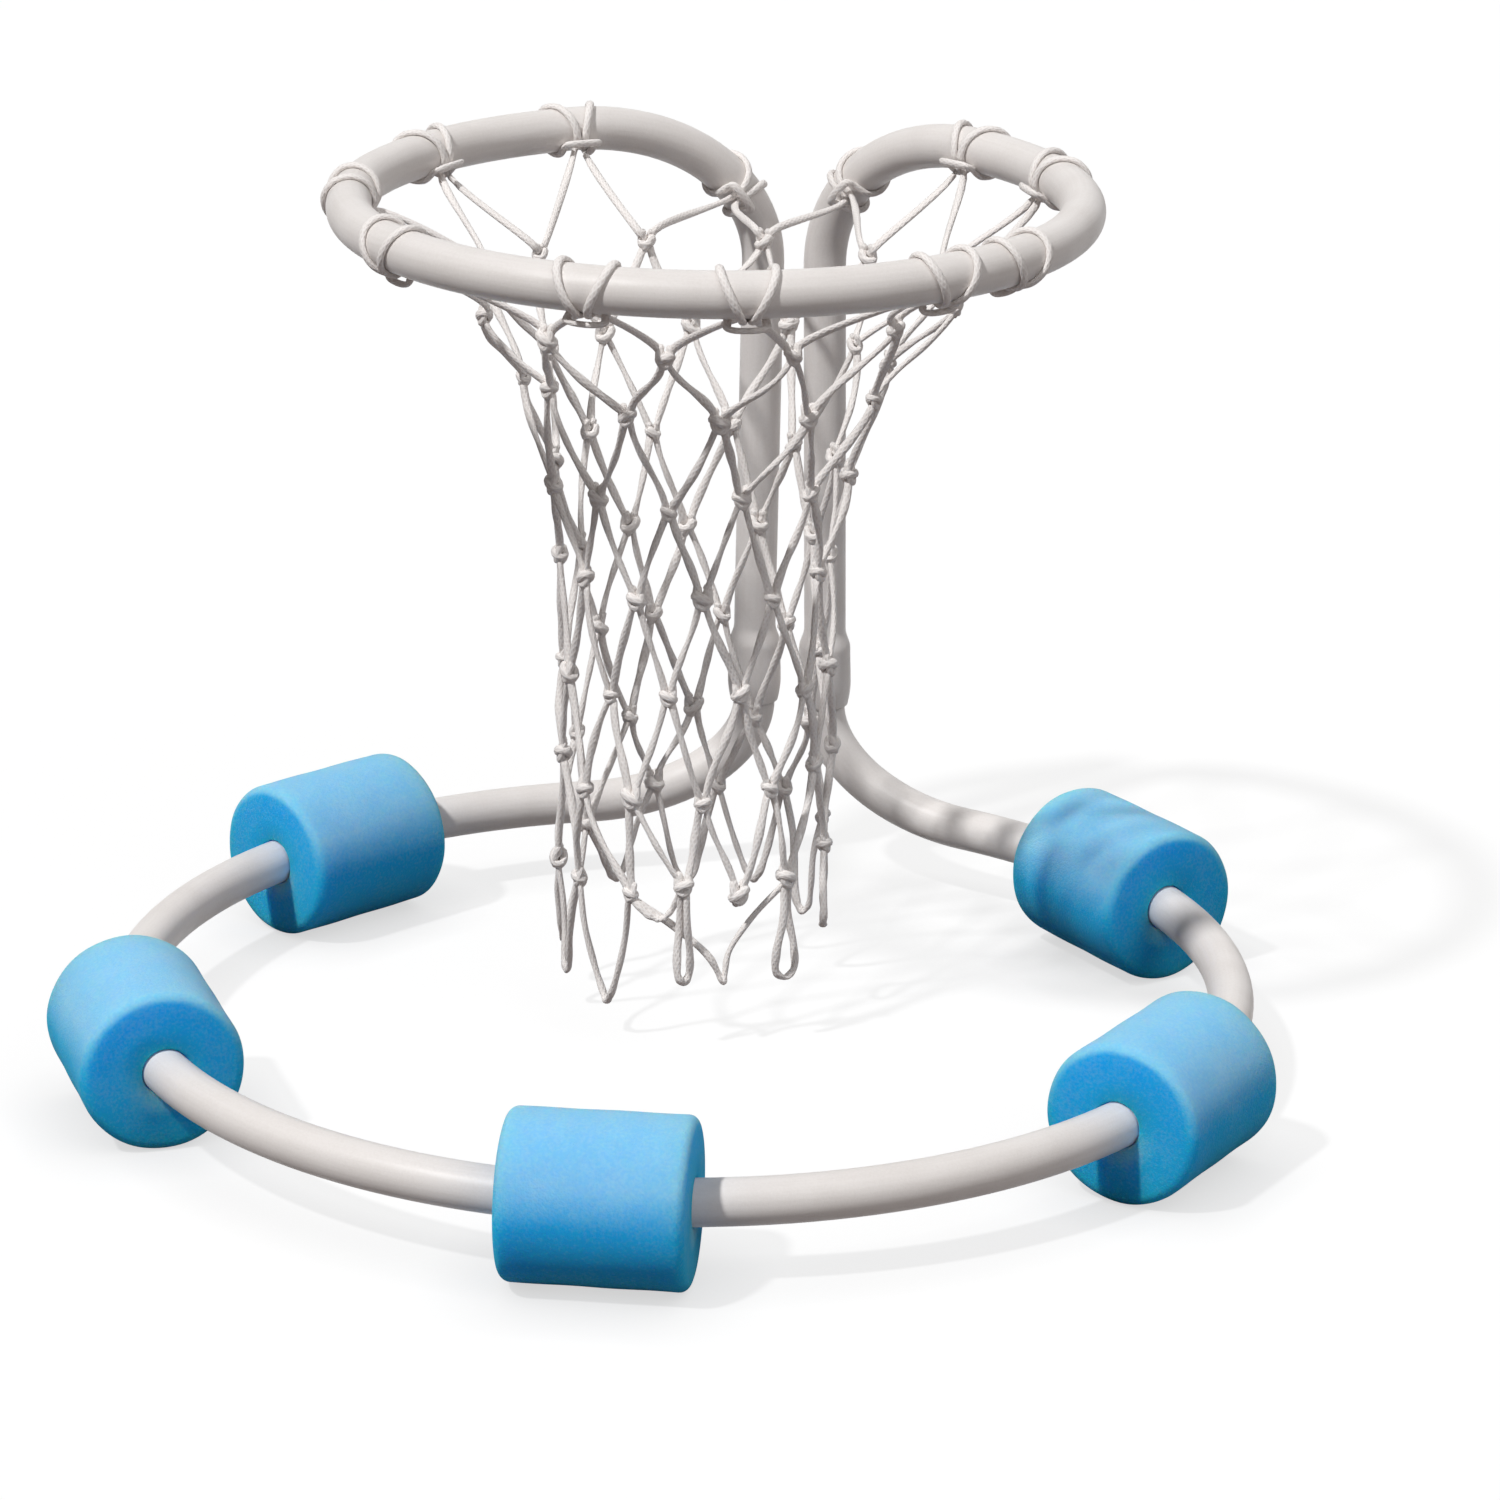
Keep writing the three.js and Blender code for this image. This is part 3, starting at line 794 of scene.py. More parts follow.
@dataclass
class BaseRing:
    """The ring of six pushed-together pipes, whose two ends bend up into the risers."""

    pipe: Pipe
    centre: Vector
    radius: float = 0.305
    riser_run: float = 0.100
    riser_rise: float = 0.060
    riser_steps: int = 4
    socket_spacing: float = 0.043
    socket_depth: float = 0.0357
    float_pitch: float = math.radians(65)
    float_skew: float = math.radians(-4)
    spigot_length: float = 0.028
    spigot_radius: float = 0.0094
    spigot_bore: float = 0.0074
    neck: float = 0.0028
    shoulder_shares: Pair = (0.75, 0.95)
    touch_gap: float = 0.0003

    @property
    def upright_y(self) -> float:
        """Where the risers and the uprights stand."""
        return self.centre.y + self.pipe.bend_reach(self.radius, self.riser_run, self.socket_spacing / 2)

    @property
    def mouth_height(self) -> float:
        """The height of the sockets' mouths."""
        return self.centre.z + self.riser_rise

    @property
    def riser_angle(self) -> float:
        """Where the riser on the right leaves the ring."""
        return self.pipe.bend_angle(self.radius, self.riser_run, self.socket_spacing / 2)

    def joint_angles(self) -> list[float]:
        """The clockwise angles of the five joints, each inside a float."""
        return [math.pi + self.float_skew + k * self.float_pitch for k in (-2, -1, 0, 1, 2)]

    def spigot(self, angle: float) -> list[Station]:
        """The necked end of a pipe, which fills the next pipe's bore.

        Args:
            angle: where the joint is.

        Returns:
            Its stations, from the shoulder to the tip.
        """
        first, second = self.shoulder_shares
        stops = (
            (self.neck * first, self.pipe.radius, self.pipe.bore),
            (self.neck * second, self.pipe.radius - self.pipe.edge, self.spigot_bore),
            (self.neck, self.spigot_radius, self.spigot_bore),
            (self.spigot_length - self.neck, self.spigot_radius, self.spigot_bore),
        )
        stations = []
        for reach, outer, inner in stops:
            at = angle + reach / self.radius
            point = self.centre + on_circle(self.radius, at)
            stations.append(Station(point, clockwise(at), outer, inner))
        return stations

    def stretch(self, start: float, end: float) -> list[Station]:
        """A pipe that starts at a joint, past the spigot's shoulder.

        Args:
            start: the angle of that joint.
            end: the angle at which the plain pipe ends.

        Returns:
            Its stations.
        """
        first = start + (self.neck + self.touch_gap) / self.radius
        arc = self.pipe.arc(self.centre, self.radius, first + self.pipe.edge / self.radius, end)
        return [*reversed(self.pipe.cut(arc[0], -1)), *self.pipe.plain(arc[1:])]

    def riser(self) -> list[Station]:
        """The riser on the right.

        Returns:
            Its stations, from its cut end inside the socket down to the ring.
        """
        offset = self.socket_spacing / 2
        top = Vector((self.centre.x + offset, self.upright_y, self.mouth_height + self.socket_depth))
        cut = Station(top - UP * self.pipe.edge, -UP)
        bend = self.pipe.bend(self.centre, self.radius, self.riser_run, self.riser_rise, offset)
        straight = []
        for k in range(self.riser_steps - 1, 0, -1):
            height = self.mouth_height + self.socket_depth * k / self.riser_steps
            straight.append(Station(Vector((top.x, top.y, height)), -UP))
        return [*reversed(self.pipe.cut(cut, -1)), *self.pipe.plain([*straight, *bend])]

    def routes(self) -> dict[str, list[Station]]:
        """The routes of the six pipes.

        Returns:
            Each pipe's stations by its name, clockwise from the riser on the right.
        """
        joints = self.joint_angles()
        right = self.riser()
        arc = self.pipe.plain(self.pipe.arc(self.centre, self.radius, self.riser_angle, joints[0]))
        pipes = {"rear_right": [*right, *arc, *self.spigot(joints[0])]}
        for i, name in enumerate(("right", "front_right", "front_left", "left")):
            pipes[name] = [*self.stretch(joints[i], joints[i + 1]), *self.spigot(joints[i + 1])]
        left = self.pipe.mirrored(right, self.centre.x)
        pipes["rear_left"] = [*self.stretch(joints[4], FULL_TURN - self.riser_angle), *left]
        return pipes

    def build(self, dresser: Dresser) -> None:
        """Makes and dresses the six pipes.

        Args:
            dresser: what gives them their finish and body.
        """
        for name, stations in self.routes().items():
            skin = Skin()
            skin.tube(stations, self.pipe.sides)
            dresser.dress(skin.piece(f"ring_pipe_{name}"), Slot.TUBE, "base", f"base_tube_{name}")


@dataclass
class HoopTube:
    """The rim, its two bends, the uprights and their belled sockets, all one bent pipe."""

    pipe: Pipe
    ring: BaseRing
    rim_radius: float = 0.200
    rim_height: float = 0.423
    bend_run: float = 0.125
    bend_rise: float = 0.090
    upright_spacing: float = 0.037
    upright_steps: int = 8
    bell_radius: float = 0.0160
    bell_neck: float = 0.0155
    bell_length: float = 0.048
    bell_shoulder: float = 0.012
    bell_steps: int = 32
    lip_length: float = 0.014
    lip_radius: float = 0.0142
    socket_gap: float = 0.00035

    @property
    def rim_centre(self) -> Vector:
        """The middle of the rim's circle."""
        reach = self.pipe.bend_reach(self.rim_radius, self.bend_run, self.upright_spacing / 2)
        centre = self.ring.centre
        return Vector((centre.x, self.ring.upright_y - reach, centre.z + self.rim_height))

    def loop(self) -> list[Station]:
        """The rim with a bend at each end.

        Returns:
            Its stations, from the right upright round to the left one.
        """
        offset = self.upright_spacing / 2
        right = self.pipe.bend(self.rim_centre, self.rim_radius, self.bend_run, -self.bend_rise, offset)
        angle = self.pipe.bend_angle(self.rim_radius, self.bend_run, offset)
        arc = self.pipe.arc(self.rim_centre, self.rim_radius, angle, FULL_TURN - angle)
        return [*right, *arc, *self.pipe.mirrored(right, self.rim_centre.x)]

    def bell_outside(self, height: float) -> float:
        """The socket's outer radius.

        Args:
            height: how far above the mouth.

        Returns:
            The radius there.
        """
        if height < self.lip_length:
            share = math.sin(math.pi / 2 * height / self.lip_length)
            return self.lip_radius + (self.bell_radius - self.lip_radius) * share
        shoulder = self.bell_length - self.bell_shoulder
        if height < shoulder:
            share = (height - self.lip_length) / (shoulder - self.lip_length)
            return self.bell_radius + (self.bell_neck - self.bell_radius) * ease(share)
        share = (height - shoulder) / self.bell_shoulder
        return self.bell_neck + (self.pipe.radius - self.bell_neck) * ease(share)

    def bell_inside(self, height: float) -> float:
        """The socket's bore.

        Args:
            height: how far above the mouth.

        Returns:
            Its radius there.
        """
        insert = self.pipe.radius + self.socket_gap
        shoulder = self.bell_length - self.bell_shoulder
        share = max(0.0, (height - shoulder) / self.bell_shoulder)
        return insert + (self.pipe.bore - insert) * ease(share)

    def socket(self) -> list[Station]:
        """The socket on the right.

        Returns:
            Its stations, from its lip up to the end of its shoulder.
        """
        x = self.ring.centre.x + self.ring.socket_spacing / 2
        edge = self.pipe.edge
        heights = [edge, *[self.bell_length * k / self.bell_steps for k in range(1, self.bell_steps + 1)]]
        levels = [(0.0, self.lip_radius - edge, self.bell_inside(0.0) + edge / 4)]
        levels += [(h, self.bell_outside(h), self.bell_inside(h)) for h in heights]
        stations = []
        for height, outer, inner in levels:
            point = Vector((x, self.ring.upright_y, self.ring.mouth_height + height))
            stations.append(Station(point, UP.copy(), outer, inner))
        return stations

    def upright(self, low: Station, high: Station) -> list[Station]:
        """The straight upright between its socket and its bend.

        Args:
            low: the last station of the socket.
            high: the first station of the bend.

        Returns:
            The stations between the two.
        """
        heading = (high.point - low.point).normalized()
        shares = [i / self.upright_steps for i in range(1, self.upright_steps)]
        return [Station(low.point.lerp(high.point, share), heading) for share in shares]

    def build(self, dresser: Dresser) -> None:
        """Makes and dresses the hoop tube.

        Args:
            dresser: what gives it its finish and body.
        """
        loop = self.loop()
        socket = self.socket()
        right = [*socket, *self.pipe.plain(self.upright(socket[-1], loop[0]))]
        route = [*right, *self.pipe.plain(loop), *self.pipe.mirrored(right, self.ring.centre.x)]
        skin = Skin()
        skin.tube(route, self.pipe.sides)
        dresser.dress(skin.piece("hoop_pipe"), Slot.TUBE, "hoop", "hoop_tube")


@dataclass
class Floats:
    """Five foam cylinders with rolled edges, each threaded on the ring over one of its joints."""

    ring: BaseRing
    radius: float = 0.045
    length: float = 0.097
    edge: float = 0.0055
    face_insets: Pair = (0.014, 0.007)
    bore_gap: float = 0.0006
    bore_edge: float = 0.0012
    ripple: float = 0.00025
    ripple_turns: Pair = (3, 5)
    ripple_runs: Pair = (90, 60)
    sides: int = 96
    edge_steps: int = 8
    side_steps: int = 14
    sharp: float = 50.0
    names: tuple[str, ...] = ("rear_right", "right", "front", "left", "rear_left")

    def outline(self) -> list[Pair]:
        """The outside from near the bore of one end face round to the other.

        Returns:
            Its points, each a place along the axis with a radius.
        """
        half = self.length / 2
        face = [(half, self.radius - self.edge - inset) for inset in self.face_insets]
        steps = [math.pi / 2 * k / self.edge_steps for k in range(self.edge_steps + 1)]
        roll = [
            (half - self.edge * (1 - math.cos(t)), self.radius - self.edge * (1 - math.sin(t)))
            for t in steps
        ]
        end = [*face, *roll]
        flat = half - self.edge
        side = [(flat * (1 - 2 * k / self.side_steps), self.radius) for k in range(1, self.side_steps)]
        return [*end, *side, *[(-x, r) for x, r in reversed(end)]]

    def section(self, along: float, radius: float, turn: float) -> Vector:
        """A point of the body, in the float's own place: its axis on X, the ring's centre at the origin.

        Args:
            along: how far along the axis.
            radius: how far from the axis.
            turn: the angle round the axis.

        Returns:
            The point.
        """
        sagitta = self.length ** 2 / (8 * self.ring.radius)
        first = math.sin(self.ripple_turns[0] * turn + self.ripple_runs[0] * along)
        wave = first * math.sin(self.ripple_turns[1] * turn - self.ripple_runs[1] * along + 1)
        r = radius + self.ripple * (wave - 1) * (radius / self.radius)
        middle = self.ring.radius - sagitta / 2
        return Vector((along, middle + r * math.cos(turn), self.ring.centre.z + r * math.sin(turn)))

    def bore(self, along: float, gap: float, turn: float) -> Vector:
        """A point of the bore, which follows the ring's curve.

        Args:
            along: how far along the axis.
            gap: how far it clears the pipe.
            turn: the angle round the pipe.

        Returns:
            The point, in the float's own place.
        """
        middle = math.sqrt(self.ring.radius ** 2 - along ** 2)
        r = self.ring.pipe.radius + gap
        wide = r * self.ring.radius / middle
        return Vector((along, middle + wide * math.cos(turn), self.ring.centre.z + r * math.sin(turn)))

    def skin(self, angle: float) -> Skin:
        """The surface of one float.

        Args:
            angle: the clockwise angle of its joint.

        Returns:
            The surface, in its place on the ring.
        """
        skin = Skin()
        centre = Vector((self.ring.centre.x, self.ring.centre.y, 0.0))
        turned = Matrix.Translation(centre) @ Matrix.Rotation(-angle, 4, "Z")
        around = turns(self.sides)
        outer = [skin.ring([turned @ self.section(x, r, t) for t in around]) for x, r in self.outline()]
        half = self.length / 2
        depths = [half, half - self.bore_edge, half / 2, 0.0, -half / 2, self.bore_edge - half, -half]
        gaps = [self.bore_gap + (self.bore_edge if abs(x) == half else 0.0) for x in depths]
        inner = [skin.ring([turned @ self.bore(x, g, t) for t in around]) for x, g in zip(depths, gaps)]
        rings = [*outer, *reversed(inner), outer[0]]
        along = 0.0
        for start, end in zip(rings, rings[1:]):
            ahead = along + (skin.points[end[0]] - skin.points[start[0]]).length
            skin.band(start[::-1], end[::-1], (along, ahead))
            along = ahead
        return skin

    def build(self, dresser: Dresser) -> None:
        """Makes and dresses the five floats.

        Args:
            dresser: what gives them their finish and body.
        """
        for name, angle in zip(self.names, self.ring.joint_angles()):
            piece = self.skin(angle).piece(f"foam_{name}", self.sharp)
            dresser.dress(piece, Slot.FOAM, f"float_{name}", f"float_{name}")


def uneven(row: float, column: float, trait: Trait) -> float:
    """A steady but uneven share between -1 and 1, so that no two knots hang alike."""
    seed = trait.value
    return math.sin(2.4 * column + 1.7 * row + seed) * math.cos(1.3 * column - 0.9 * row + 2 * seed)


@dataclass(frozen=True)
class Knot:
    """A knot's place, with its right and its outward direction as seen from outside the net."""

    point: Vector
    right: Vector
    out: Vector

    def at(self, x: float, y: float, z: float) -> Vector:
        """A point near the knot: x to the right, y outward and z up."""
        return self.point + self.right * x + self.out * y + UP * z


@dataclass(frozen=True)
class KnotForm:
    """How the cord runs in a knot, in metres to the right, outward and up from its middle.

    The bight is the bottom of the mesh above, the turn is drawn tight round it with a slant, and the
    tail is the cord's way behind both.
    """

    bight: tuple[Place, ...] = (
        (-0.0026, -0.0006, 0.0066), (-0.0031, 0.0008, 0.0028), (-0.0027, 0.0015, -0.0012),
        (-0.0004, 0.0019, -0.0036), (0.0021, 0.0014, -0.0018), (0.0028, 0.0006, 0.0022),
        (0.0022, -0.0006, 0.0062))
    tail: tuple[Place, ...] = (
        (0.0030, -0.0022, 0.0030), (0.0006, -0.0030, 0.0004), (-0.0016, -0.0024, -0.0026),
        (-0.0014, 0.0, -0.0052))
    turn_half: Pair = (0.0037, 0.0031)
    turn_height: float = 0.0004
    turn_rise: float = 0.0009
    cord_share: float = 0.95
    turn_share: float = 1.05
    flat: float = 0.8
    steps: int = 4
    turn_steps: int = 20

    def tie(self, skin: Skin, knot: Knot, cord: float, size: float, tilt: float) -> None:
        """Adds a knot.

        Args:
            skin: the net's surface.
            knot: where it is.
            cord: half the cord's width.
            size: how large it is, 1 being usual.
            tilt: how far its turn slants, up to the right where it is positive.
        """
        side = math.copysign(size, tilt)
        bight = [knot.at(x * side, y * size, z * size) for x, y, z in self.bight]
        thin = cord * self.cord_share
        skin.cord(rounded_route(bight, self.steps), thin * size, Lie(self.flat, (knot.out,)))
        turn = []
        for t in turns(self.turn_steps):
            x = self.turn_half[0] * math.cos(t)
            z = self.turn_height + x * abs(tilt) + self.turn_rise * math.sin(t)
            turn.append(knot.at(x * side, self.turn_half[1] * math.sin(t) * size, z * size))
        skin.coil(turn, cord * self.turn_share * size, self.flat)
        tail = [knot.at(x * side, y * size, z * size) for x, y, z in self.tail]
        skin.cord(rounded_route(tail, self.steps), thin, Lie(self.flat, (-knot.out,)))


@dataclass(frozen=True)
class Hang:
    """A stretch of cord at the net's end: its two columns, its tip's height above the ring, its form.

    lean is how far over to the second column the tip is, and out how far it stands out of the net.
    """

    start: int
    stop: int
    tip: float
    width: float
    lean: float = 0.5
    out: float = 0.0


@dataclass
class Net:
    """The knotted cord net: seven rows of twelve knots, the strands between, and the loops at its end.

    last_row_moves says for some columns how far the last knot is moved clockwise and down. head, foot
    and end_foot are where a cord meets a knot, to the side and up. Each bow share is a place on the way
    to a loop's tip, with how wide the loop is there. The seeds turn a row and a column into slackness.
    """

    rim: HoopTube
    form: KnotForm = KnotForm()
    columns: int = 12
    cord: float = 0.0023
    flat: float = 0.72
    sharp: float = 70.0
    jitter: float = 0.0036
    height_jitter_share: float = 1.4
    sway: float = -0.009
    sway_rows: int = 2
    radius_shares: tuple[float, ...] = (0.66, 0.51, 0.405, 0.38, 0.37, 0.375, 0.38)
    height_shares: tuple[float, ...] = (0.88, 0.775, 0.645, 0.52, 0.387, 0.26, 0.145)
    droop: float = 0.012
    droop_angle: float = math.radians(215)
    droop_row: int = 3
    size_spread: float = 0.16
    slant_spread: float = 0.5
    least_slant: float = 0.3
    loose_column: int = 5
    loose_size: float = 1.1
    last_row_moves: tuple[tuple[int, float, float], ...] = (
        (10, -0.006, 0.005), (9, -0.013, 0.010), (8, -0.012, 0.007), (7, -0.018, 0.003),
        (6, -0.009, 0.002), (5, 0.004, 0.003), (4, 0.012, 0.002), (3, -0.003, 0.0))
    head: Pair = (0.0015, 0.002)
    foot: Pair = (0.0018, -0.003)
    sag: Varied = Varied(0.02, 0.035, 1.7, math.cos)
    bulge: Varied = Varied(0.02, 0.05, 1.0)
    wander: Varied = Varied(0.0, 0.0022, 4.1)
    leave_rise: Varied = Varied(0.25, 0.2, 3.1)
    arrive_rise: Varied = Varied(0.35, 0.2, 2.7, math.cos)
    strand_turn: Varied = Varied(0.0, 0.9, 1.3)
    strand_twist: Varied = Varied(0.0, 2.2, 2.3)
    strand_swell: float = 0.14
    strand_steps: int = 14
    heading_share: float = 0.8
    reach_share: float = 0.33
    right_seeds: Place = (5.1, 1.9, 0.0)
    left_seeds: Place = (3.7, 2.3, 2.0)
    ends: tuple[Hang, ...] = (
        Hang(8, 7, -0.024, 0.012, 0.55), Hang(7, 4, -0.006, -0.016, 0.6, 0.004),
        Hang(7, 6, 0.033, 0.004, 0.6), Hang(6, 6, -0.004, 0.006),
        Hang(4, 4, -0.006, 0.013), Hang(3, 3, 0.008, 0.018), Hang(2, 1, -0.004, 0.006),
        Hang(1, 0, 0.006, 0.008, 0.45), Hang(0, 11, 0.0, 0.006), Hang(11, 10, 0.008, 0.004, 0.55),
        Hang(10, 9, -0.016, 0.014, 0.5, 0.006), Hang(9, 8, -0.022, 0.006, 0.4))
    end_foot: Pair = (0.0016, -0.003)
    wide_bow_shares: tuple[Pair, ...] = ((0.35, 0.45), (0.7, 1.0), (0.93, 0.8))
    slim_bow_shares: tuple[Pair, ...] = ((0.35, 0.8), (0.7, 0.9), (0.93, 0.2))
    end_waver: float = 0.002
    end_waver_rate: float = 4.0
    end_turn: Varied = Varied(0.0, 0.8, 1.0)
    end_twist: Varied = Varied(0.0, 2.0, 1.9, math.cos)
    end_swell: float = 0.12
    end_steps: int = 6
    end_seed: float = 1.7

    @property
    def last_row(self) -> int:
        """The lowest row of knots, the top one being row 0."""
        return len(self.radius_shares) - 1

    def knot(self, row: int, column: int) -> Knot:
        """A knot's place.

        Args:
            row: its row, from the top.
            column: its column, clockwise, which may run past the last one.

        Returns:
            The knot.
        """
        column %= self.columns
        angle = (column + (0.5 if row % 2 else 0.0)) * FULL_TURN / self.columns
        radius = self.radius_shares[row] * self.rim.rim_radius
        radius += self.jitter * uneven(row, column, Trait.RADIUS)
        height = self.rim.ring.centre.z + self.height_shares[row] * self.rim.rim_height
        height += self.jitter * self.height_jitter_share * uneven(row, column, Trait.HEIGHT)
        lower = max(0.0, (row - self.droop_row) / (self.last_row - self.droop_row))
        height -= self.droop * lower * (1 + math.cos(angle - self.droop_angle)) / 2
        shift = self.jitter / radius * uneven(row, column, Trait.SHIFT)
        point = on_circle(radius, angle + shift) + UP * height
        if row == self.last_row:
            for moved, along, down in self.last_row_moves:
                if moved == column:
                    point += clockwise(angle) * along - UP * down
        point.x += self.rim.ring.centre.x + self.sway * min(1.0, row / self.sway_rows)
        point.y += self.rim.rim_centre.y
        return Knot(point, -clockwise(angle), on_circle(1.0, angle))

    def strand(self, skin: Skin, low: Knot, high: Knot, side: int, seed: float) -> None:
        """Adds the cord between a knot and the one above it on one side.

        Args:
            skin: the net's surface.
            low: the lower knot.
            high: the upper knot.
            side: 1 where the upper knot is on the right, or -1.
            seed: what the strand's own slackness comes from.
        """
        start = low.at(side * self.head[0], 0.0, self.head[1])
        end = high.at(-side * self.foot[0], 0.0, self.foot[1])
        length = (end - start).length
        bow = low.out * (length * self.bulge.at(seed)) - UP * (length * self.sag.at(seed))
        wander = low.right * self.wander.at(seed)
        rise = (end - start).normalized() * self.heading_share
        reach = length * self.reach_share
        leave = (rise + UP * self.leave_rise.at(seed)).normalized() * reach
        arrive = (rise + UP * self.arrive_rise.at(seed)).normalized() * reach
        first = start + leave + bow + wander
        second = end - arrive + bow - wander
        route = []
        for i in range(self.strand_steps + 1):
            t = i / self.strand_steps
            s = 1 - t
            early, late = first * (3 * s * s * t), second * (3 * s * t * t)
            route.append(start * s ** 3 + early + late + end * t ** 3)
        turn, twist = self.strand_turn.at(seed), self.strand_twist.at(seed)
        skin.cord(route, self.cord, Lie(self.flat, (low.out,), turn, twist, self.strand_swell))

    def hang(self, skin: Skin, left: Knot, right: Knot, end: Hang, seed: float) -> None:
        """Adds the cord that hangs between two knots of the last row, or below one of them.

        Args:
            skin: the net's surface.
            left: the knot that it leaves, as seen from outside.
            right: the knot that it goes back to.
            end: how it hangs.
            seed: what its own slackness comes from.
        """
        alone = left is right
        inward = -self.end_foot[0] if alone else self.end_foot[0]
        start = left.at(inward, 0.0, self.end_foot[1])
        stop = right.at(-inward, 0.0, self.end_foot[1])
        out = (left.out + right.out).normalized()
        tip = start.lerp(stop, end.lean) + out * end.out
        tip.z = self.rim.ring.centre.z + end.tip
        across = left.right if alone else (stop - start).normalized()
        belly = across * (end.width / 2)
        down, up = [], []
        for share, spread in self.wide_bow_shares if end.width > 0 else self.slim_bow_shares:
            waver = out * (self.end_waver * math.sin(seed + self.end_waver_rate * share))
            down.append(start.lerp(tip, share) - belly * spread + waver)
            up.append(stop.lerp(tip, share) + belly * spread - waver)
        route = rounded_route([start, *down, tip, *reversed(up), stop], self.end_steps)
        turn, twist = self.end_turn.at(seed), self.end_twist.at(seed)
        skin.cord(route, self.cord, Lie(self.flat, (out,), turn, twist, self.end_swell))

    def tie(self, skin: Skin, row: int, column: int) -> None:
        """Adds a knot and the two strands that go up from it.

        Args:
            skin: the net's surface.
            row: the knot's row, from the top.
            column: its column.
        """
        knot = self.knot(row, column)
        loose = row == self.last_row and column == self.loose_column
        size = self.loose_size if loose else 1.0 + self.size_spread * uneven(row, column, Trait.SIZE)
        slant = uneven(row, column, Trait.SLANT)
        tilt = slant * self.slant_spread + math.copysign(self.least_slant, slant)
        self.form.tie(skin, knot, self.cord, size, tilt)
        if row == 0:
            return
        right = column if row % 2 else column - 1
        for side, above, seeds in ((1, right, self.right_seeds), (-1, right + 1, self.left_seeds)):
            seed = row * seeds[0] + column * seeds[1] + seeds[2]
            self.strand(skin, knot, self.knot(row - 1, above), side, seed)

    def build(self, dresser: Dresser) -> None:
        """Makes and dresses the net.

        Args:
            dresser: what gives it its finish and body.
        """
        skin = Skin()
        for row in range(self.last_row + 1):
            for column in range(self.columns):
                self.tie(skin, row, column)
        for end in self.ends:
            left = self.knot(self.last_row, end.start)
            right = left if end.start == end.stop else self.knot(self.last_row, end.stop)
            self.hang(skin, left, right, end, self.end_seed * end.start)
        dresser.dress(skin.piece("knotted_net", self.sharp), Slot.CORD, "hoop", "net")


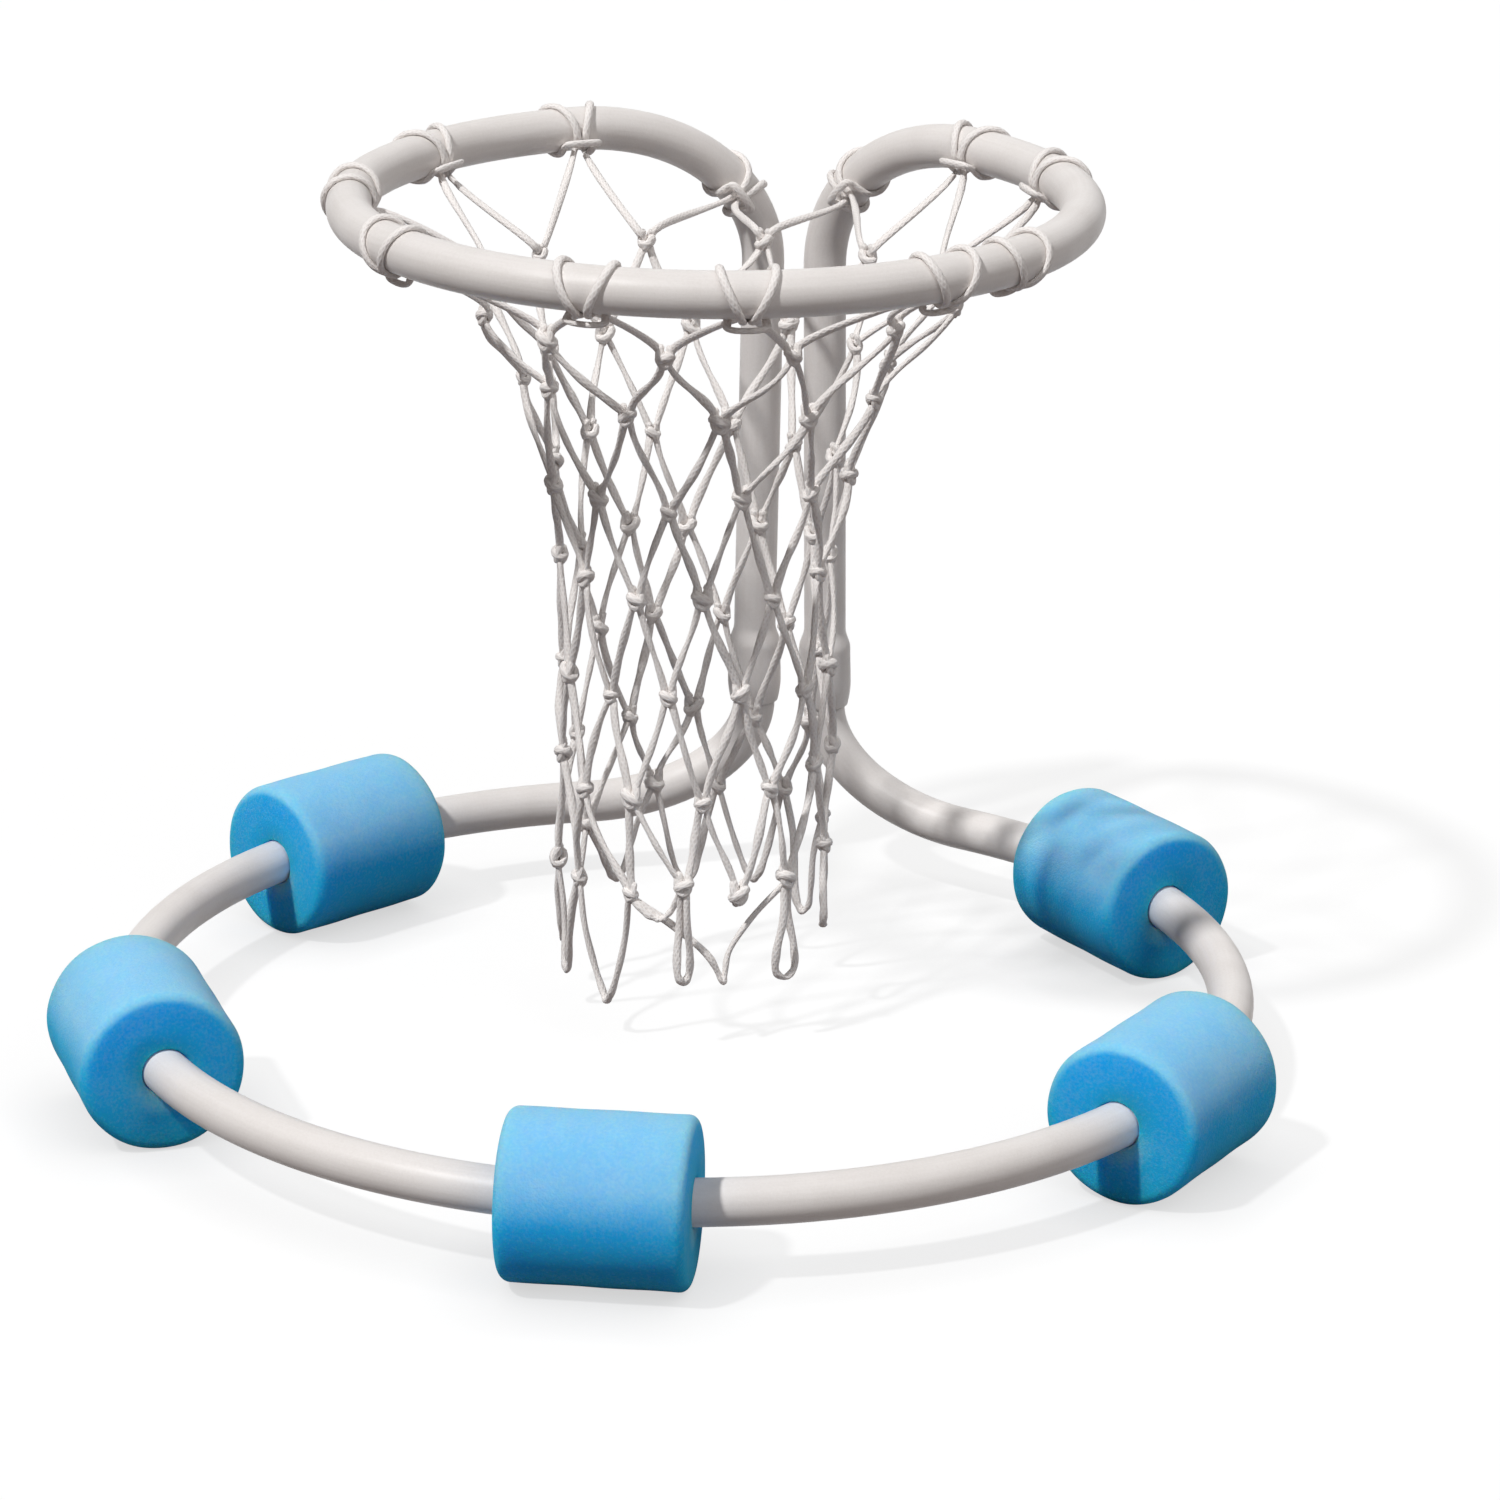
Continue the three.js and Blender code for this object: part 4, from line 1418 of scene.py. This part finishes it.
@dataclass
class Hitches:
    """The twelve hitches that tie the net's top meshes round the rim.

    angles are their clockwise places in degrees. A hitch is wide where its cord runs behind the tube,
    and its bar crosses the front at the bar angle from the way down to the net.
    """

    rim: HoopTube
    net: Net
    angles: tuple[float, ...] = (10, 36, 60, 117, 132.5, 164, 188, 226.5, 262, 294, 324, 351.6)
    width: float = 0.029
    waist: float = 0.020
    leg_spread: float = 0.0052
    leg_foot: Pair = (0.005, 0.0065)
    wrap_steps: int = 8
    route_steps: int = 8
    bar_angle: float = math.radians(17)
    front_slip: float = math.radians(45)
    wrap_lead: float = math.radians(13)
    leg_lag: float = math.radians(22)

    def __post_init__(self) -> None:
        """Lays out the hoop tube's route once."""
        self.loop = self.rim.loop()
        self.reaches = [0.0]
        for before, after in zip(self.loop, self.loop[1:]):
            self.reaches.append(self.reaches[-1] + (after.point - before.point).length)

    def along(self, reach: float) -> Station:
        """A place on the tube.

        Args:
            reach: how far along its loop.

        Returns:
            The place with the tube's heading there.
        """
        i = 1
        while i < len(self.reaches) - 1 and self.reaches[i] < reach:
            i += 1
        share = (reach - self.reaches[i - 1]) / (self.reaches[i] - self.reaches[i - 1])
        before, after = self.loop[i - 1], self.loop[i]
        heading = before.tangent.lerp(after.tangent, share).normalized()
        return Station(before.point.lerp(after.point, share), heading)

    def reach_at(self, angle: float) -> float:
        """How far along its loop the tube passes an angle.

        Args:
            angle: the clockwise angle about the rim's centre.

        Returns:
            The distance along the loop.
        """
        centre = self.rim.rim_centre
        passed = [math.atan2(s.point.x - centre.x, s.point.y - centre.y) % FULL_TURN for s in self.loop]
        for i in range(1, len(passed)):
            if passed[i] >= angle:
                share = (angle - passed[i - 1]) / (passed[i] - passed[i - 1])
                return self.reaches[i - 1] + (self.reaches[i] - self.reaches[i - 1]) * share
        return self.reaches[-1]

    def route(self, index: int) -> list[tuple[Vector, Vector]]:
        """The middle line of one hitch, from a knot round the rim twice and down to the next knot.

        Args:
            index: the hitch's place, clockwise from the right upright.

        Returns:
            Its points, each with the way that the cord's flat side looks.
        """
        angle = math.radians(self.angles[index])
        middle = self.reach_at(angle)
        turn = -1 if math.cos(angle) > 0 else 1
        knots = [self.net.knot(0, index), self.net.knot(0, index + 1)]
        target = knots[0].point.lerp(knots[1].point, 0.5)
        bar = self.bar_angle + self.front_slip * max(0.0, -math.cos(angle))
        thick = self.net.cord * self.net.flat
        near = self.rim.pipe.radius + thick
        far = near + 2 * thick

        def place(offset: float, about: float, radius: float) -> tuple[Vector, Vector]:
            """A point round the tube.

            Args:
                offset: how far along the tube from the hitch's middle.
                about: the angle round the tube from the way down to the net.
                radius: how far from the tube's middle line.

            Returns:
                The point, with its way out of the tube.
            """
            stop = self.along(middle + offset)
            down = target - stop.point
            down = (down - stop.tangent * down.dot(stop.tangent)).normalized()
            across = stop.tangent.cross(down) * turn
            out = down * math.cos(about) + across * math.sin(about)
            return stop.point + out * radius, out

        def half(side: int) -> list[tuple[Vector, Vector]]:
            """One side of the hitch.

            Args:
                side: -1 for its first half and 1 for its second.

            Returns:
                Its points, from its knot to the end of its bar.
            """
            knot = knots[0 if side < 0 else 1]
            feet = (self.net.head, self.leg_foot)
            points = [(knot.at(side * x, 0.0, z), knot.out) for x, z in feet]
            points.append(place(side * self.leg_spread / 2, bar - self.leg_lag, near))
            for i in range(self.wrap_steps + 1):
                share = i / self.wrap_steps
                waist = self.leg_spread + (self.waist - self.leg_spread) * share
                offset = side * (waist + (self.width - waist) * math.sin(math.pi * share) ** 2) / 2
                about = bar + self.wrap_lead + (FULL_TURN - 2 * self.wrap_lead) * share
                points.append(place(offset, about, near))
            points.append(place(side * self.waist / 2, bar, far))
            return points

        return [*half(-1), *reversed(half(1))]

    def build(self, dresser: Dresser) -> None:
        """Makes and dresses the hitches.

        Args:
            dresser: what gives them their finish and body.
        """
        steps = self.route_steps
        for index in range(len(self.angles)):
            skin = Skin()
            points, outs = zip(*self.route(index))
            sides = [a.lerp(b, step / steps) for a, b in zip(outs, outs[1:]) for step in range(steps)]
            lie = Lie(self.net.flat, (*sides, outs[-1]))
            skin.cord(rounded_route(list(points), steps), self.net.cord, lie)
            name = f"hitch_{index + 1:02d}"
            dresser.dress(skin.piece(f"tied_{name}", self.net.sharp), Slot.CORD, "hoop", f"net_{name}")


@dataclass(frozen=True)
class Lamp:
    """A far lamp that lights everything alike, with its angles in degrees.

    azimuth is its way round from the front to the right, spread is how wide it looks, and level is the
    brightness of a white surface that faces it.
    """

    name: str
    azimuth: float
    elevation: float
    spread: float
    level: float

    def build(self) -> None:
        """Hangs the lamp."""
        data = bpy.data.lights.new(self.name, "SUN")
        data.angle = math.radians(self.spread)
        data.energy = self.level * math.pi
        lamp = in_scene(self.name, data)
        lamp.rotation_euler = (math.radians(90 - self.elevation), 0.0, math.radians(self.azimuth))


@dataclass
class Studio:
    """The pale floor, the lamps and the camera."""

    centre: Vector
    azimuth: float = math.radians(11.65)
    elevation: float = math.radians(21.37)
    roll: float = math.radians(0.27)
    distance: float = 3.125
    farthest: float = 100.0
    lens: float = 134.8
    sensor: float = 36.0
    image: float = 1500.0
    centre_in_image: Pair = (680.7, 982.0)
    lamps: tuple[Lamp, ...] = (
        Lamp("key", -40.0, 54.0, 3.5, 0.82),
        Lamp("right", 56.0, 46.0, 45.0, 0.25),
        Lamp("back", 165.0, 30.0, 60.0, 0.09))
    sky_level: float = 0.10
    sky_tint: Colour = (1.0, 0.915, 0.895, 1.0)
    floor_size: float = 60.0
    floor_glow: float = 0.85
    floor_tone: float = 0.16
    floor_bounce: Colour = (0.20, 0.172, 0.165, 1.0)
    # How far and how deep the painted contact shadow on the floor reaches.
    contact_reach: float = 0.045
    contact_shade: float = 0.72
    contact_samples: int = 8

    def camera(self) -> None:
        """Places the camera where the photograph was taken from."""
        away = Vector((
            math.sin(self.azimuth) * math.cos(self.elevation),
            -math.cos(self.azimuth) * math.cos(self.elevation),
            math.sin(self.elevation)))
        right = UP.cross(away).normalized()
        level = Matrix((right, away.cross(right), away)).transposed()
        focal = self.lens / self.sensor * self.image
        u = self.centre_in_image[0] - self.image / 2
        v = self.image / 2 - self.centre_in_image[1]
        sight = Vector((u, v, -focal)).normalized()
        tilt = Vector((0.0, 0.0, -1.0)).rotation_difference(sight).to_matrix()
        turned = level @ Matrix.Rotation(self.roll, 3, "Z") @ tilt.transposed()
        data = bpy.data.cameras.new("photo_camera")
        data.lens = self.lens
        data.sensor_width = self.sensor
        data.clip_end = self.farthest
        camera = in_scene("photo_camera", data)
        camera.matrix_world = Matrix.Translation(self.centre + away * self.distance) @ turned.to_4x4()
        bpy.context.scene.camera = camera

    def floor(self) -> None:
        """Lays the floor: pale to the eye, with a painted contact shadow where the hoop comes near, and
        darker in the light that it sends back.
        """
        half = self.floor_size / 2
        corners = [(-half, -half, 0), (half, -half, 0), (half, half, 0), (-half, half, 0)]
        mesh = bpy.data.meshes.new("floor")
        mesh.from_pydata(corners, [], [(0, 1, 2, 3)])
        weave = Weave("pale_floor")
        weave.tree.nodes.remove(weave.shader)
        dark = weave.node("ShaderNodeBsdfDiffuse", {"Color": self.floor_bounce})
        pale = weave.node("ShaderNodeBsdfDiffuse", {"Color": (*[self.floor_tone] * 3, 1.0)})
        # Painted shadow: the floor's glow is dimmed by ambient occlusion where the hoop is near.
        near = weave.node(
            "ShaderNodeAmbientOcclusion", {"Distance": self.contact_reach}, samples=self.contact_samples)
        painted_contact_glows = (self.floor_glow * self.contact_shade, self.floor_glow)
        level = weave.span(near.outputs["AO"], (0.0, 1.0), painted_contact_glows)
        glow = weave.node("ShaderNodeEmission", {"Color": (1.0, 1.0, 1.0, 1.0), "Strength": level})
        lit = weave.node("ShaderNodeAddShader", {0: pale.outputs[0], 1: glow.outputs[0]})
        shares = {0: weave.seen_directly(), 1: dark.outputs[0], 2: lit.outputs[0]}
        both = weave.node("ShaderNodeMixShader", shares)
        weave.feed(weave.tree.nodes["Material Output"].inputs["Surface"], both.outputs[0])
        mesh.materials.append(weave.material)
        made = in_scene("floor", mesh)

    def sky(self) -> None:
        """Sets the soft light from all round, and a pale backdrop where one looks past the floor."""
        world = bpy.data.worlds.new("studio")
        world.use_nodes = True
        bpy.context.scene.world = world
        nodes = Nodes(world.node_tree)
        fill = nodes.tree.nodes["Background"]
        nodes.feed(fill.inputs["Color"], self.sky_tint)
        nodes.feed(fill.inputs["Strength"], self.sky_level)
        backdrop = nodes.node("ShaderNodeBackground", {"Strength": 1.0})
        shares = {0: nodes.seen_directly(), 1: fill.outputs[0], 2: backdrop.outputs[0]}
        both = nodes.node("ShaderNodeMixShader", shares)
        nodes.feed(nodes.tree.nodes["World Output"].inputs["Surface"], both.outputs[0])

    def build(self) -> None:
        """Sets up camera, floor, lamps and colour."""
        self.camera()
        self.floor()
        self.sky()
        for lamp in self.lamps:
            lamp.build()
        bpy.context.scene.view_settings.view_transform = "Standard"
        log.info("studio: camera, floor and lamps")


def ring_centre() -> Vector:
    """The middle of the base ring, about which the floats slide."""
    slide = next(j for j in frame["joints"] if j["name"] == "float_front_slide")
    return Vector(slide["pos_m"])


def main() -> None:
    """Builds the hoop in order, from the ring up."""
    logging.basicConfig(level=logging.INFO, format="%(name)s: %(message)s")
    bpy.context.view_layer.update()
    centre = ring_centre()
    Studio(centre).build()
    dresser = Dresser()
    dresser.prepare()
    pipe = Pipe()
    ring = BaseRing(pipe, centre)
    ring.build(dresser)
    Floats(ring).build(dresser)
    hoop = HoopTube(pipe, ring)
    hoop.build(dresser)
    net = Net(hoop)
    net.build(dresser)
    Hitches(hoop, net).build(dresser)


if __name__ == "__main__":
    main()
